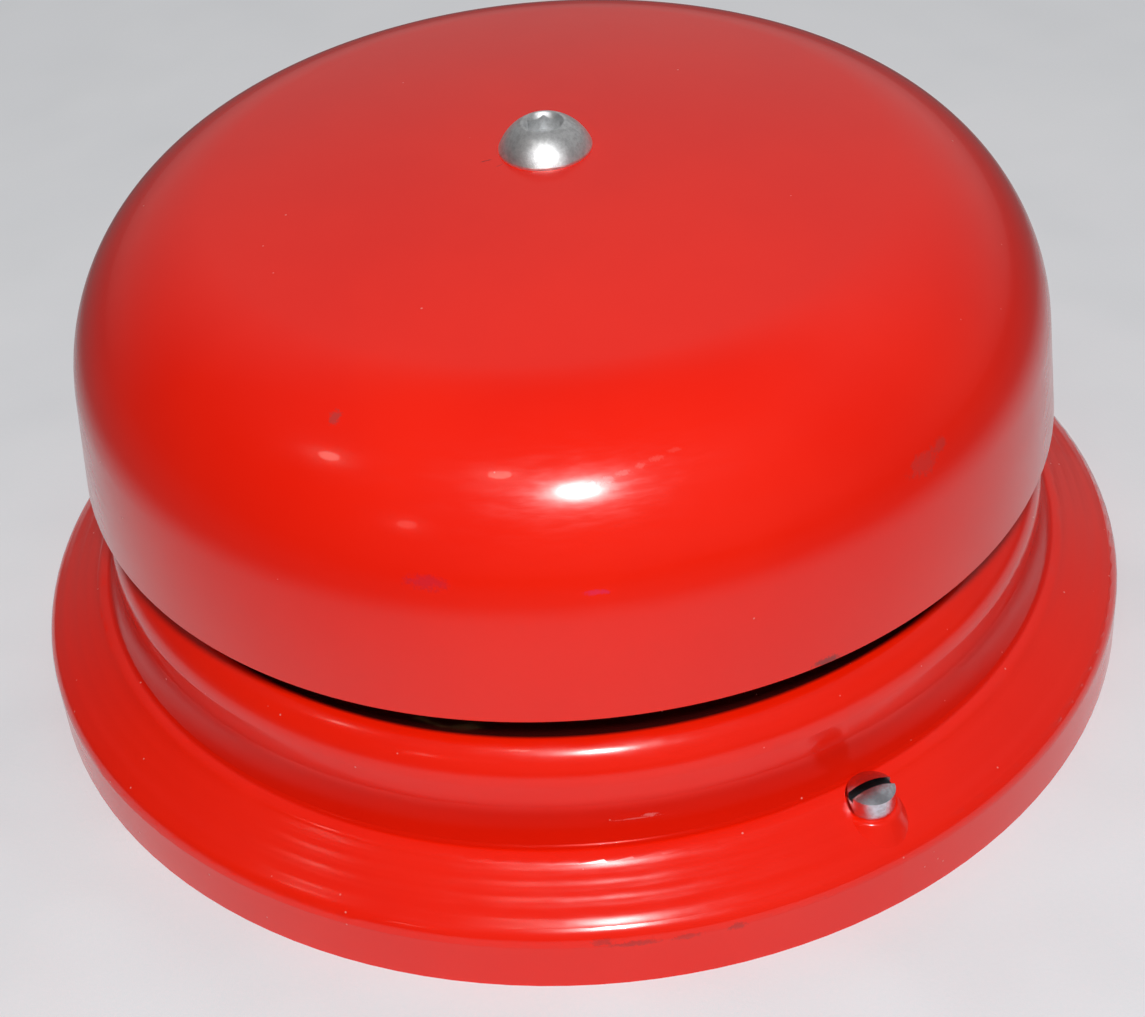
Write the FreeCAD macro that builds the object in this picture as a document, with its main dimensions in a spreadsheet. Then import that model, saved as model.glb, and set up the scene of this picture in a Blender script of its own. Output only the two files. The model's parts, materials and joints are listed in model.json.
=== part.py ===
import FreeCAD, Part
import math
import os
import Sketcher

# Electric alarm bell, 6 inch, with its vibrating works under the gong.
# Frame: +Z up, z = 0 is the plane that the base stands on, the gong's axis is the Z axis,
# and the two cover screws lie on the X axis. Lengths are millimetres, angles degrees.

Vector = FreeCAD.Vector
Rotation = FreeCAD.Rotation
Placement = FreeCAD.Placement

os.makedirs("parts", exist_ok=True)
doc = FreeCAD.newDocument("under_dome_bell")

# ---------------------------------------------------------------- driving dimensions

SIZES = {
    # base housing, a drawn steel pan
    "base_radius": 88.0,
    "base_wall": 1.2,
    "skirt_height": 7.8,
    "edge_radius": 3.0,
    "flange_slope": 32.85,
    "bead_radius": 4.8,
    "bead_low_angle": 48.0,
    "bead_high_angle": 80.0,
    "cove_radius": 11.0,
    "cove_foot_angle": 33.0,
    "cove_top": 22.3,
    "neck_radius": 75.0,
    "neck_top": 26.0,
    "shoulder_radius": 6.3,
    "crease_fillet": 0.7,
    # seats for the cover screws on the flange
    "cover_screw_pitch": 80.5,
    "seat_height": 13.85,
    "seat_radius": 4.05,
    "seat_draft": 30.0,
    "seat_well_radius": 3.6,
    "seat_edge_radius": 1.0,
    "seat_clearance": 0.3,
    # cover screws, number 8 fillister head
    "cover_head_radius": 3.43,
    "cover_head_side": 3.0,
    "cover_head_dome": 0.95,
    "cover_shank_radius": 2.08,
    "cover_shank_length": 9.5,
    "slot_width": 1.35,
    "slot_depth": 1.8,
    "slot_turn": 82.0,
    # back plate and its standoffs
    "plate_clearance": 0.5,
    "plate_wall": 1.5,
    "entry_radius": 11.1,
    "box_hole_spacing": 88.9,
    "box_hole_radius": 2.3,
    "gang_hole_spacing": 83.3,
    "gang_hole_radius": 2.0,
    "wall_hole_radius": 2.5,
    "wall_hole_circle": 68.0,
    "standoff_radius": 3.175,
    "standoff_spigot_radius": 2.6,
    "thread_clearance": 0.05,
    # gong, a drawn steel dome
    "rim_radius": 76.2,
    "rim_height": 39.6,
    "rim_draft": 4.6,
    "gong_shoulder": 27.7,
    "crown_radius": 430.0,
    "gong_height": 83.7,
    "gong_wall": 1.8,
    "gong_hole_radius": 4.3,
    "gong_pad_radius": 8.1,
    "gong_pad_rise": 0.35,
    "gong_pad_chamfer": 0.3,
    # gong screw, 5/16 inch button head with a hexagon socket
    "gong_head_radius": 6.95,
    "gong_head_height": 4.2,
    "gong_head_crown": 3.4,
    "gong_head_edge": 0.35,
    "gong_shank_radius": 3.95,
    "gong_shank_length": 15.9,
    "socket_flats": 4.76,
    "socket_depth": 2.6,
    "socket_mouth": 0.35,
    # gong post
    "post_radius": 6.0,
    "post_gap": 1.0,
    "post_bearing": 39.8,
    "post_hole_depth": 22.0,
    "post_stud_radius": 3.9,
    "post_stud_length": 9.5,
    "gong_washer_radius": 8.5,
    "gong_washer": 0.8,
    "nut_flats": 12.7,
    "nut_height": 5.6,
    "lock_washer_radius": 6.6,
    "lock_washer": 1.6,
    # magnet frame, an L of soft iron
    "frame_wall": 3.0,
    "frame_left": 9.0,
    "frame_front": 4.5,
    "frame_margin": 0.6,
    "frame_bend": 2.5,
    "frame_ear_round": 4.0,
    # small fixing screws
    "fixing_head_radius": 2.7,
    "fixing_head": 2.1,
    "fixing_shank_radius": 1.7,
    "fixing_slot": 0.8,
    "fixing_reach": 4.0,
    # pivot
    "works_gap": 5.8,
    "pivot_inset": 8.934,
    "pivot_bearing": 50.44,
    "swing": 3.0,
    "pin_radius": 1.55,
    "pin_head_radius": 2.5,
    "pin_head": 0.8,
    "bearing_clearance": 0.06,
    "bracket_wall": 1.6,
    "bracket_width": 8.0,
    "bracket_web_gap": 6.5,
    "bracket_nose": 4.5,
    "bracket_tail": 13.5,
    "thrust_gap": 0.3,
    "clip_radius": 3.4,
    "clip_wall": 0.6,
    "clip_groove_radius": 1.1,
    # magnet
    "coil_room": 2.1,
    "coil_gap": 1.2,
    "core_radius": 4.0,
    "core_chamfer": 0.4,
    "core_thread": 7.0,
    "pole_stand": 1.0,
    "flange_wall": 1.2,
    "tube_radius": 5.0,
    "winding_inset": 0.8,
    "coil_clearance": 0.1,
    # armature and striker
    "armature_height": 16.2,
    "armature_back": 1.0,
    "armature_front": 2.0,
    "armature_length": 40.0,
    "residual_gap": 0.4,
    "knuckle_radius": 3.6,
    "lug_height": 8.0,
    "lug_left": 5.0,
    "lug_right": 6.0,
    "lug_end": 8.0,
    "rod_radius": 1.6,
    "rod_offset": 5.0,
    "striker_radius": 6.35,
    "striker_length": 11.0,
    "striker_chamfer": 2.0,
    "strike_gap": 0.5,
    # contact spring on the armature
    "leaf_wall": 0.4,
    "leaf_height": 6.0,
    "leaf_start": 4.0,
    "leaf_bend": 15.0,
    "leaf_offset": 2.2,
    "leaf_end": 32.0,
    "leaf_rivet_radius": 0.9,
    "contact_arm": 27.0,
    "contact_radius": 2.0,
    "contact_wall": 1.0,
    "contact_gap": 0.3,
    # fixed contact
    "block_left": 21.5,
    "block_right": 9.6,
    "block_low": 18.0,
    "block_high": 34.0,
    "block_height": 6.0,
    "contact_bracket_wall": 1.6,
    "contact_bracket_width": 12.0,
    "contact_bracket_left": 18.0,
    "contact_bracket_right": 10.2,
    "contact_screw_radius": 1.9,
    "contact_screw_tip": 1.2,
    "contact_screw_end": 26.0,
    "contact_screw_neck": 1.5,
    "contact_screw_taper": 0.7,
    "knurl_radius": 3.6,
    "knurl_wall": 3.2,
    "knurl_chamfer": 0.4,
    "knurl_slot": 0.9,
    "knurl_slot_depth": 1.1,
    "locknut_flats": 7.0,
    "locknut_height": 2.6,
    # return spring
    "spring_arm": 37.5,
    "spring_tab": 4.6,
    "spring_tab_wall": 1.2,
    "spring_hole": 3.0,
    "spring_hole_radius": 0.8,
    "spring_coil_radius": 2.2,
    "spring_wire_radius": 0.35,
    "spring_turns": 8,
    "spring_pitch": 0.95,
    "spring_hook_leg": 0.7,
    "spring_leg": 2.4,
    "anchor_radius": 1.5,
    "anchor_foot_radius": 2.5,
    "anchor_rise": 3.5,
    # terminal block under the deck
    "terminal_x": 24.0,
    "terminal_y": 22.0,
    "terminal_pitch": 14.0,
    "terminal_base": 5.0,
    "terminal_depth": 11.0,
    "terminal_width": 12.0,
    "barrier_wall": 1.8,
    "terminal_ear": 8.0,
    "terminal_ear_wall": 3.0,
    "terminal_ear_grip": 1.5,
    "terminal_plate_length": 11.0,
    "terminal_plate_width": 8.0,
    "terminal_plate_wall": 0.8,
    "terminal_screw_spacing": 6.0,
    # leads and their grommet
    "grommet_x": -20.1,
    "grommet_y": 16.0,
    "grommet_bore": 3.0,
    "grommet_groove": 4.6,
    "grommet_radius": 6.2,
    "grommet_lip": 1.5,
    "lead_radius": 0.8,
    "coil_lead_radius": 0.5,
    "lead_near_lane": 9.6,
    "lead_far_lane": 12.4,
    "lead_lane_end": 12.0,
    "lead_drop": 2.8,
    "lead_pair": 0.95,
    "lead_hop": 4.0,
    "lead_bend": 3.0,
    "coil_lead_bend": 2.0,
}

dims = doc.addObject("Spreadsheet::Sheet", "dims")
for row, (alias, number) in enumerate(SIZES.items(), start=1):
    dims.set("A%d" % row, alias)
    dims.set("B%d" % row, str(number))
    dims.setAlias("B%d" % row, alias)
doc.recompute()

# ---------------------------------------------------------------- derived places

DERIVED = {
    # base housing section
    "edge_x": "dims.base_radius - dims.edge_radius + dims.edge_radius * sin(dims.flange_slope)",
    "edge_z": "dims.skirt_height + dims.edge_radius * cos(dims.flange_slope)",
    "crease_x": "dims.neck_radius + dims.cove_radius * (1 - cos(dims.cove_foot_angle))",
    "crease_z": "dims.cove_top - dims.cove_radius * sin(dims.cove_foot_angle)",
    "bead_x": "crease_x - dims.bead_radius * cos(dims.bead_high_angle)",
    "bead_z": "crease_z - dims.bead_radius * sin(dims.bead_high_angle)",
    "deck_top": "dims.neck_top + dims.shoulder_radius",
    "deck_under": "deck_top - dims.base_wall",
    "deck_radius": "dims.neck_radius - dims.shoulder_radius",
    "seat_under": "dims.seat_height - dims.base_wall",
    # gong section: the centre of its shoulder arc, which meets wall and crown smoothly
    "crown_z": "dims.gong_height - dims.crown_radius",
    "wall_x": "dims.rim_radius - dims.gong_shoulder * cos(dims.rim_draft)",
    "wall_z": "dims.rim_height - dims.gong_shoulder * sin(dims.rim_draft) - crown_z",
    "wall_dot": "wall_z * cos(dims.rim_draft) - wall_x * sin(dims.rim_draft)",
    "wall_gap": "wall_x^2 + wall_z^2 - (dims.crown_radius - dims.gong_shoulder)^2",
    "wall_run": "sqrt(wall_dot^2 - wall_gap) - wall_dot",
    "arc_x": "wall_x - wall_run * sin(dims.rim_draft)",
    "arc_z": "wall_z + crown_z + wall_run * cos(dims.rim_draft)",
    "crown_angle": "atan2(arc_z - crown_z; arc_x)",
    "gong_seat": "dims.gong_height + dims.gong_pad_rise",
    "gong_under": "crown_z + sqrt((dims.crown_radius - dims.gong_wall)^2 - dims.gong_washer_radius^2)",
    "post_top": "gong_under - dims.gong_washer",
    # the works fill the room between the gong's post and the nearer of the gong and the deck's edge
    "works_room": "min(dims.rim_radius - dims.gong_wall - dims.works_gap; deck_radius)",
    "pivot_x": "-(works_room - dims.pivot_inset) * cos(dims.pivot_bearing)",
    "pivot_y": "-(works_room - dims.pivot_inset) * sin(dims.pivot_bearing)",
    # heights of the works
    "frame_top": "deck_top + dims.frame_wall",
    "foot_top": "frame_top + dims.bracket_wall",
    "knuckle_low": "foot_top + dims.thrust_gap",
    "knuckle_high": "knuckle_low + dims.armature_height",
    "axis_z": "knuckle_low + dims.armature_height / 2",
    "ear_low": "knuckle_high + dims.thrust_gap",
    "ear_high": "ear_low + dims.bracket_wall",
    # magnet
    "pole_x": "pivot_x + dims.armature_front + dims.residual_gap",
    "yoke_back": "-(dims.post_radius + dims.post_gap) * cos(dims.post_bearing)",
    "yoke_x": "yoke_back - dims.frame_wall",
    "frame_back": "-(dims.post_radius + dims.post_gap) * sin(dims.post_bearing)",
    "coils_room": "frame_back - dims.frame_margin - pivot_y - dims.coil_room - dims.coil_gap",
    "bobbin_radius": "coils_room / 4",
    "winding_radius": "bobbin_radius - dims.winding_inset",
    "coil_near_y": "pivot_y + dims.coil_room + bobbin_radius",
    "coil_far_y": "frame_back - dims.frame_margin - bobbin_radius",
    "coil_left": "pole_x + dims.pole_stand",
    "coil_right": "yoke_x - dims.coil_clearance",
    "yoke_front": "coil_near_y - bobbin_radius - dims.frame_margin",
    "frame_left": "pivot_x - dims.frame_left",
    "frame_front": "pivot_y - dims.frame_front",
    # striker: where its head stands when the armature is drawn in, and how far its edges reach
    "striker_edge": "max(sqrt((dims.striker_length / 2 - dims.striker_chamfer)^2 + dims.striker_radius^2);"
                    " sqrt((dims.striker_radius - dims.striker_chamfer)^2 + (dims.striker_length / 2)^2))",
    "gong_inside": "dims.rim_radius - (axis_z - dims.rim_height) * tan(dims.rim_draft)"
                   " - dims.gong_wall / cos(dims.rim_draft)",
    "strike_radius": "gong_inside - striker_edge - dims.strike_gap",
    "rod_y": "pivot_y - dims.rod_offset",
    "reach": "sqrt(strike_radius^2 - rod_y^2) - pivot_x",
    # contacts at rest, with the armature swung back
    "leaf_face": "dims.armature_back + dims.leaf_offset + dims.leaf_wall",
    "contact_face": "leaf_face + dims.contact_wall",
    "contact_x": "pivot_x - contact_face * cos(dims.swing) - dims.contact_arm * sin(dims.swing)",
    "contact_y": "pivot_y + dims.contact_arm * cos(dims.swing) - contact_face * sin(dims.swing)",
    "tip_x": "contact_x - dims.contact_gap",
    "block_top": "deck_top + dims.block_height",
    "block_left": "pivot_x - dims.block_left",
    "block_right": "pivot_x - dims.block_right",
    "contact_bracket_left": "pivot_x - dims.contact_bracket_left",
    "contact_bracket_right": "pivot_x - dims.contact_bracket_right",
    "screw_end": "pivot_x - dims.contact_screw_end",
    "knurl_face": "screw_end + dims.knurl_wall",
    "contact_foot_top": "block_top + dims.contact_bracket_wall",
    # return spring
    "hook_x": "pivot_x - dims.spring_hole * cos(dims.swing) - dims.spring_arm * sin(dims.swing)",
    "hook_y": "pivot_y + dims.spring_arm * cos(dims.swing) - dims.spring_hole * sin(dims.swing)",
    "spring_start": "hook_x - dims.spring_coil_radius - dims.spring_hook_leg",
    "spring_end": "spring_start - (dims.spring_turns + 0.25) * dims.spring_pitch",
    "anchor_x": "spring_end - dims.spring_leg - dims.spring_coil_radius"
                " + dims.spring_wire_radius + dims.anchor_radius + 0.1",
    # terminal block
    "terminal_face": "deck_under - dims.terminal_base",
    "terminal_plate_under": "terminal_face - dims.terminal_plate_wall",
    "terminal_low": "deck_under - dims.terminal_depth",
    "terminal_half": "dims.terminal_pitch + dims.barrier_wall / 2",
}

place = doc.addObject("App::VarSet", "place")
for name, formula in DERIVED.items():
    place.addProperty("App::PropertyFloat", name)
    place.setExpression(name, formula)
doc.recompute()


def value(formula):
    """The number that a formula on the sheet stands for."""
    if isinstance(formula, str):
        return float(place.evalExpression(formula))
    return float(formula)


# ---------------------------------------------------------------- building blocks

nodes = []


def node(label, thing):
    """Name a finished sub-part, which is written to parts/LABEL.step."""
    thing.Label = label
    nodes.append(thing)
    return thing


def new_sketch(body, role, lift=0):
    plane = next(f for f in body.Origin.OriginFeatures if f.Role == role)
    sketch = body.newObject("Sketcher::SketchObject", body.Name + "_sketch")
    sketch.AttachmentSupport = [(plane, "")]
    sketch.MapMode = "FlatFace"
    if lift != 0:
        sketch.setExpression("AttachmentOffset.Base.z", str(lift))
    return sketch


def bind(sketch, kind, anchors, formula):
    """A dimension of the sketch that follows a formula on the sheet."""
    index = sketch.addConstraint(Sketcher.Constraint(kind, *anchors, value(formula)))
    sketch.setExpression("Constraints[%d]" % index, str(formula))


def arc_piece(start, end, turn, radius):
    """The arc from start to end, and which of its ends is the start."""
    chord = end - start
    left = Vector(-chord.y, chord.x, 0).normalize()
    height = math.sqrt(max(radius ** 2 - (chord.Length / 2) ** 2, 0.0))
    side = 1 if turn == "left" else -1
    centre = start + chord * 0.5 + left * (side * height)
    first, last = (start, end) if turn == "left" else (end, start)
    angles = [math.atan2(p.y - centre.y, p.x - centre.x) for p in (first, last)]
    if angles[1] < angles[0]:
        angles[1] += 2 * math.pi
    circle = Part.Circle(centre, Vector(0, 0, 1), radius)
    arc = Part.ArcOfCircle(circle, angles[0], angles[1])
    return arc, (1, 2) if turn == "left" else (2, 1)


def outline(sketch, corners):
    """Draw a closed outline. A corner is (x, y) at the end of a straight run, or
    (x, y, turn, radius) at the end of an arc that turns "left" or "right"."""
    points = [Vector(value(c[0]), value(c[1]), 0) for c in corners]
    first = sketch.GeometryCount
    ends = []
    for index, corner in enumerate(corners):
        start = points[index - 1]
        if len(corner) == 2:
            sketch.addGeometry(Part.LineSegment(start, points[index]))
            ends.append((1, 2))
        else:
            arc, order = arc_piece(start, points[index], corner[2], value(corner[3]))
            sketch.addGeometry(arc)
            ends.append(order)
    count = len(corners)
    for index in range(count):
        following = (index + 1) % count
        joint = (first + index, ends[index][1], first + following, ends[following][0])
        sketch.addConstraint(Sketcher.Constraint("Coincident", *joint))
    for index, corner in enumerate(corners):
        bind(sketch, "DistanceX", (-1, 1, first + index, ends[index][1]), corner[0])
        bind(sketch, "DistanceY", (-1, 1, first + index, ends[index][1]), corner[1])
        if len(corner) == 4:
            bind(sketch, "Radius", (first + index,), corner[3])


def ring(sketch, x, y, radius):
    """Draw a circle."""
    centre = Vector(value(x), value(y), 0)
    index = sketch.addGeometry(Part.Circle(centre, Vector(0, 0, 1), value(radius)))
    bind(sketch, "DistanceX", (-1, 1, index, 3), x)
    bind(sketch, "DistanceY", (-1, 1, index, 3), y)
    bind(sketch, "Radius", (index,), radius)


def turned(name, corners, along="z"):
    """A body of revolution. Along z its corners are (radius, z), along x (x, radius)."""
    body = doc.addObject("PartDesign::Body", name)
    sketch = new_sketch(body, "XZ_Plane" if along == "z" else "XY_Plane")
    outline(sketch, corners)
    revolution = body.newObject("PartDesign::Revolution", name + "_turned")
    revolution.Profile = sketch
    revolution.ReferenceAxis = (sketch, ["V_Axis" if along == "z" else "H_Axis"])
    revolution.Angle = 360
    return body


def padded(name, corners, thickness, plane="XY_Plane", lift=0, circles=()):
    """A flat piece: an outline with round holes, raised by a thickness."""
    body = doc.addObject("PartDesign::Body", name)
    sketch = new_sketch(body, plane, lift)
    outline(sketch, corners)
    for circle in circles:
        ring(sketch, *circle)
    pad = body.newObject("PartDesign::Pad", name + "_pad")
    pad.Profile = sketch
    pad.setExpression("Length", str(thickness))
    return body


def cylinder(name, radius, height, x=0, y=0, z=0, along="z"):
    thing = doc.addObject("Part::Cylinder", name)
    thing.setExpression("Radius", str(radius))
    thing.setExpression("Height", str(height))
    turn = {"z": Rotation(), "x": Rotation(Vector(0, 1, 0), 90), "y": Rotation(Vector(1, 0, 0), -90)}
    return moved(thing, x, y, z, turn[along])


def box(name, length, width, height, x, y, z):
    thing = doc.addObject("Part::Box", name)
    thing.setExpression("Length", str(length))
    thing.setExpression("Width", str(width))
    thing.setExpression("Height", str(height))
    return moved(thing, x, y, z)


def moved(thing, x=0, y=0, z=0, rotation=Rotation()):
    """Put a thing in its place, which follows the sheet."""
    thing.Placement = Placement(Vector(value(x), value(y), value(z)), rotation)
    for axis, formula in zip("xyz", (x, y, z)):
        thing.setExpression("Placement.Base." + axis, str(formula))
    return thing


def joined(name, things):
    fuse = doc.addObject("Part::MultiFuse", name)
    fuse.Shapes = things
    fuse.Refine = True
    return fuse


def cut(name, base, tools):
    result = doc.addObject("Part::Cut", name)
    result.Base = base
    result.Tool = tools[0] if len(tools) == 1 else joined(name + "_tools", tools)
    return result


def rounded(name, base, radius, chosen):
    """Round the edges of base that the test picks."""
    doc.recompute()
    fillet = doc.addObject("Part::Fillet", name)
    fillet.Base = base
    edges = [i for i, edge in enumerate(base.Shape.Edges, start=1) if chosen(edge)]
    fillet.Edges = [(i, value(radius), value(radius)) for i in edges]
    return fillet


def group(name, members):
    """Several separate solids of one kind that share a node."""
    compound = doc.addObject("Part::Compound", name)
    compound.Links = members
    return compound


def swing_back(thing):
    """Stand a piece of the armature, drawn round the pivot as drawn in, at its rest."""
    moved(thing, "place.pivot_x", "place.pivot_y", 0, Rotation(Vector(0, 0, 1), 1))
    thing.setExpression("Placement.Rotation.Angle", "dims.swing")
    return thing


def hexagon(flats, x=0, y=0):
    """Corners of a hexagon of this width across its flats."""
    corners = []
    for index in range(6):
        angle = 30 + 60 * index
        span = "%s / sqrt(3)" % flats
        corners.append(("%s + %s * cos(%d)" % (x, span, angle), "%s + %s * sin(%d)" % (y, span, angle)))
    return corners


# ---------------------------------------------------------------- base housing

def base_form_section():
    """The housing's outside: skirt, flange, bead, cove, neck and shoulder."""
    bead_end = "place.bead_%s + dims.bead_radius * %s(dims.bead_low_angle)"
    return [
        (0, 0),
        ("dims.base_radius", 0),
        ("dims.base_radius", "dims.skirt_height"),
        ("place.edge_x", "place.edge_z", "left", "dims.edge_radius"),
        (bead_end % ("x", "cos"), bead_end % ("z", "sin")),
        ("place.crease_x", "place.crease_z", "left", "dims.bead_radius"),
        ("dims.neck_radius", "dims.cove_top", "right", "dims.cove_radius"),
        ("dims.neck_radius", "dims.neck_top"),
        ("place.deck_radius", "place.deck_top", "left", "dims.shoulder_radius"),
        (0, "place.deck_top"),
    ]


def base_hollow_section():
    """The housing's inside: the outside moved in by the wall, with its arcs as chords."""
    edge = "dims.base_wall * %s(dims.flange_slope)"
    bead = "(dims.bead_radius - dims.base_wall) * %s(dims.bead_low_angle)"
    cove = "(dims.cove_radius + dims.base_wall) * %s(dims.cove_foot_angle * %s)"
    turn = "(dims.shoulder_radius - dims.base_wall) * %s(%d)"
    cove_x = "dims.neck_radius + dims.cove_radius - "
    inside = "dims.base_radius - dims.base_wall"
    corners = [
        (0, -1),
        (inside, -1),
        (inside, "dims.skirt_height"),
        ("place.edge_x - " + edge % "sin", "place.edge_z - " + edge % "cos"),
        ("place.bead_x + " + bead % "cos", "place.bead_z + " + bead % "sin"),
        (cove_x + cove % ("cos", "1"), "dims.cove_top - " + cove % ("sin", "1")),
        (cove_x + cove % ("cos", "0.5"), "dims.cove_top - " + cove % ("sin", "0.5")),
        ("dims.neck_radius - dims.base_wall", "dims.cove_top"),
    ]
    for angle in (0, 30, 60, 90):
        corners.append(("place.deck_radius + " + turn % ("cos", angle),
                        "dims.neck_top + " + turn % ("sin", angle)))
    corners.append((0, "place.deck_under"))
    return corners


# Fixings that pass the deck: where each stands.
FRAME_SCREWS = [("place.frame_left + 3.4", "place.coil_far_y + 4.5"),
                ("place.pivot_x + 10", "place.pivot_y - 1.6"),
                ("place.pole_x + 15", "(place.coil_near_y + place.coil_far_y) / 2")]
BLOCK_SCREWS = [("place.block_left + 2.9", "place.contact_y - 4.5"),
                ("place.block_left + 2.9", "place.contact_y + 4.5")]
TERMINAL_EARS = [("dims.terminal_x + %s" % shift, "dims.terminal_y")
                 for shift in ("place.terminal_half + dims.terminal_ear / 2",
                               "-(place.terminal_half + dims.terminal_ear / 2)")]
COVER_SIDES = ("dims.cover_screw_pitch", "-dims.cover_screw_pitch")


def base_housing():
    form = rounded("base_form_rounded", turned("base_form", base_form_section()), "dims.crease_fillet",
                   lambda edge: edge.Curve.TypeId == "Part::GeomCircle"
                   and abs(edge.Curve.Radius - value("place.crease_x")) < 0.01)
    hollow = turned("base_hollow", base_hollow_section())
    pads = []
    recesses = []
    blocks = []
    wells = []
    for side, x in enumerate(COVER_SIDES):
        tag = "_%d" % side
        pad = turned("seat_pad" + tag, [
            (0, "place.edge_z"),
            ("dims.seat_radius + (dims.seat_height - place.edge_z) * tan(dims.seat_draft)", "place.edge_z"),
            ("dims.seat_radius", "dims.seat_height"),
            (0, "dims.seat_height"),
        ])
        pads.append(rounded("seat_pad_round" + tag, moved(pad, x), "dims.seat_edge_radius",
                            lambda edge: edge.Curve.TypeId == "Part::GeomCircle"
                            and edge.CenterOfMass.z > value("dims.seat_height") - 0.01))
        recesses.append(cylinder("seat_recess" + tag, "dims.cover_head_radius + dims.seat_clearance",
                                 "dims.cove_top", x, 0, "dims.seat_height"))
        blocks.append(cylinder("seat_block" + tag, "dims.seat_radius + dims.base_wall", "dims.cove_top",
                               x, 0, "place.seat_under"))
        wells.append(cylinder("seat_well" + tag, "dims.seat_well_radius", "place.seat_under + 1",
                              x, 0, -1))
    full = cut("base_full", joined("base_with_pads", [form] + pads), recesses)
    void = joined("base_void", [cut("base_hollow_seated", hollow, blocks)] + wells)
    hole_radius = "dims.cover_shank_radius + dims.seat_clearance"
    holes = [cylinder("cover_hole_%d" % side, hole_radius, "dims.cove_top", x, 0,
                      "place.seat_under - 1") for side, x in enumerate(COVER_SIDES)]
    deck = [("dims.post_stud_radius + dims.thread_clearance * 3", 0, 0),
            ("dims.grommet_groove + 0.1", "dims.grommet_x", "dims.grommet_y"),
            ("dims.anchor_radius - 0.3 + dims.thread_clearance", "place.anchor_x", "place.hook_y")]
    deck += [("dims.fixing_shank_radius + dims.thread_clearance", x, y)
             for x, y in FRAME_SCREWS + BLOCK_SCREWS + TERMINAL_EARS]
    for index, (radius, x, y) in enumerate(deck):
        holes.append(cylinder("deck_hole_%d" % index, radius, "dims.base_wall + 2", x, y,
                              "place.deck_under - 1"))
    node("base_housing", cut("housing", full, [void] + holes))


# ---------------------------------------------------------------- back plate and cover fixings

def back_plate():
    blank = cylinder("plate_blank", "dims.base_radius - dims.base_wall - dims.plate_clearance",
                     "dims.plate_wall")
    holes = [("dims.entry_radius", 0, 0)]
    holes += [("dims.standoff_spigot_radius + dims.thread_clearance", x, 0) for x in COVER_SIDES]
    for sign in ("", "-"):
        holes.append(("dims.box_hole_radius", 0, sign + "dims.box_hole_spacing / 2"))
        holes.append(("dims.gang_hole_radius", sign + "dims.gang_hole_spacing / 2", 0))
    for angle in (30, 150, 270):
        holes.append(("dims.wall_hole_radius", "dims.wall_hole_circle * cos(%d)" % angle,
                      "dims.wall_hole_circle * sin(%d)" % angle))
    tools = [cylinder("plate_hole_%d" % index, radius, "dims.plate_wall + 2", x, y, -1)
             for index, (radius, x, y) in enumerate(holes)]
    node("back_plate", cut("plate", blank, tools))


def plate_standoffs():
    members = []
    for side, x in enumerate(COVER_SIDES):
        bore = "dims.cover_shank_radius + dims.thread_clearance"
        hole_floor = "dims.seat_height - dims.cover_shank_length - 1"
        standoff = turned("standoff_%d" % side, [
            (0, 0),
            ("dims.standoff_spigot_radius", 0),
            ("dims.standoff_spigot_radius", "dims.plate_wall"),
            ("dims.standoff_radius", "dims.plate_wall"),
            ("dims.standoff_radius", "place.seat_under"),
            (bore, "place.seat_under"),
            (bore, hole_floor),
            (0, "%s - 1" % hole_floor),
        ])
        members.append(moved(standoff, x))
    node("plate_standoffs", group("standoffs", members))


def slotted(name, screw, radius, width, depth, top, turn, x, y, along="z"):
    """Cut a screwdriver slot across the head, of this radius, of a screw that stands at x, y."""
    slot = doc.addObject("Part::Box", name + "_slot")
    slot.setExpression("Length", "4 * %s" % radius)
    slot.setExpression("Width", str(width))
    slot.setExpression("Height", str(depth))
    slot.Placement = Placement(Vector(0, 0, 0), Rotation(Vector(0, 0, 1), value(turn)))
    slot.setExpression("Placement.Base.x", "%s - 2 * %s * cos(%s) + %s / 2 * sin(%s)"
                       % (x, radius, turn, width, turn))
    slot.setExpression("Placement.Base.y", "%s - 2 * %s * sin(%s) - %s / 2 * cos(%s)"
                       % (y, radius, turn, width, turn))
    slot.setExpression("Placement.Base.z", "%s" % top if along == "down" else "%s - %s" % (top, depth))
    return cut(name + "_slotted", screw, [slot])


def cover_screws():
    members = []
    for side, x in enumerate(COVER_SIDES):
        head_top = "dims.cover_head_side + dims.cover_head_dome"
        dome = "(dims.cover_head_radius^2 + dims.cover_head_dome^2) / (2 * dims.cover_head_dome)"
        screw = turned("cover_screw_%d" % side, [
            (0, "-dims.cover_shank_length"),
            ("dims.cover_shank_radius - 0.4", "-dims.cover_shank_length"),
            ("dims.cover_shank_radius", "0.4 - dims.cover_shank_length"),
            ("dims.cover_shank_radius", 0),
            ("dims.cover_head_radius - 0.15", 0),
            ("dims.cover_head_radius", 0.15),
            ("dims.cover_head_radius", "dims.cover_head_side"),
            (0, head_top, "left", dome),
        ])
        moved(screw, x, 0, "dims.seat_height")
        members.append(slotted("cover_screw_%d" % side, screw, "dims.cover_head_radius",
                               "dims.slot_width", "dims.slot_depth", "dims.seat_height + %s" % head_top,
                               "dims.slot_turn", x, 0))
    node("cover_screws", group("cover_screw_pair", members))


# ---------------------------------------------------------------- gong and its post

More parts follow.
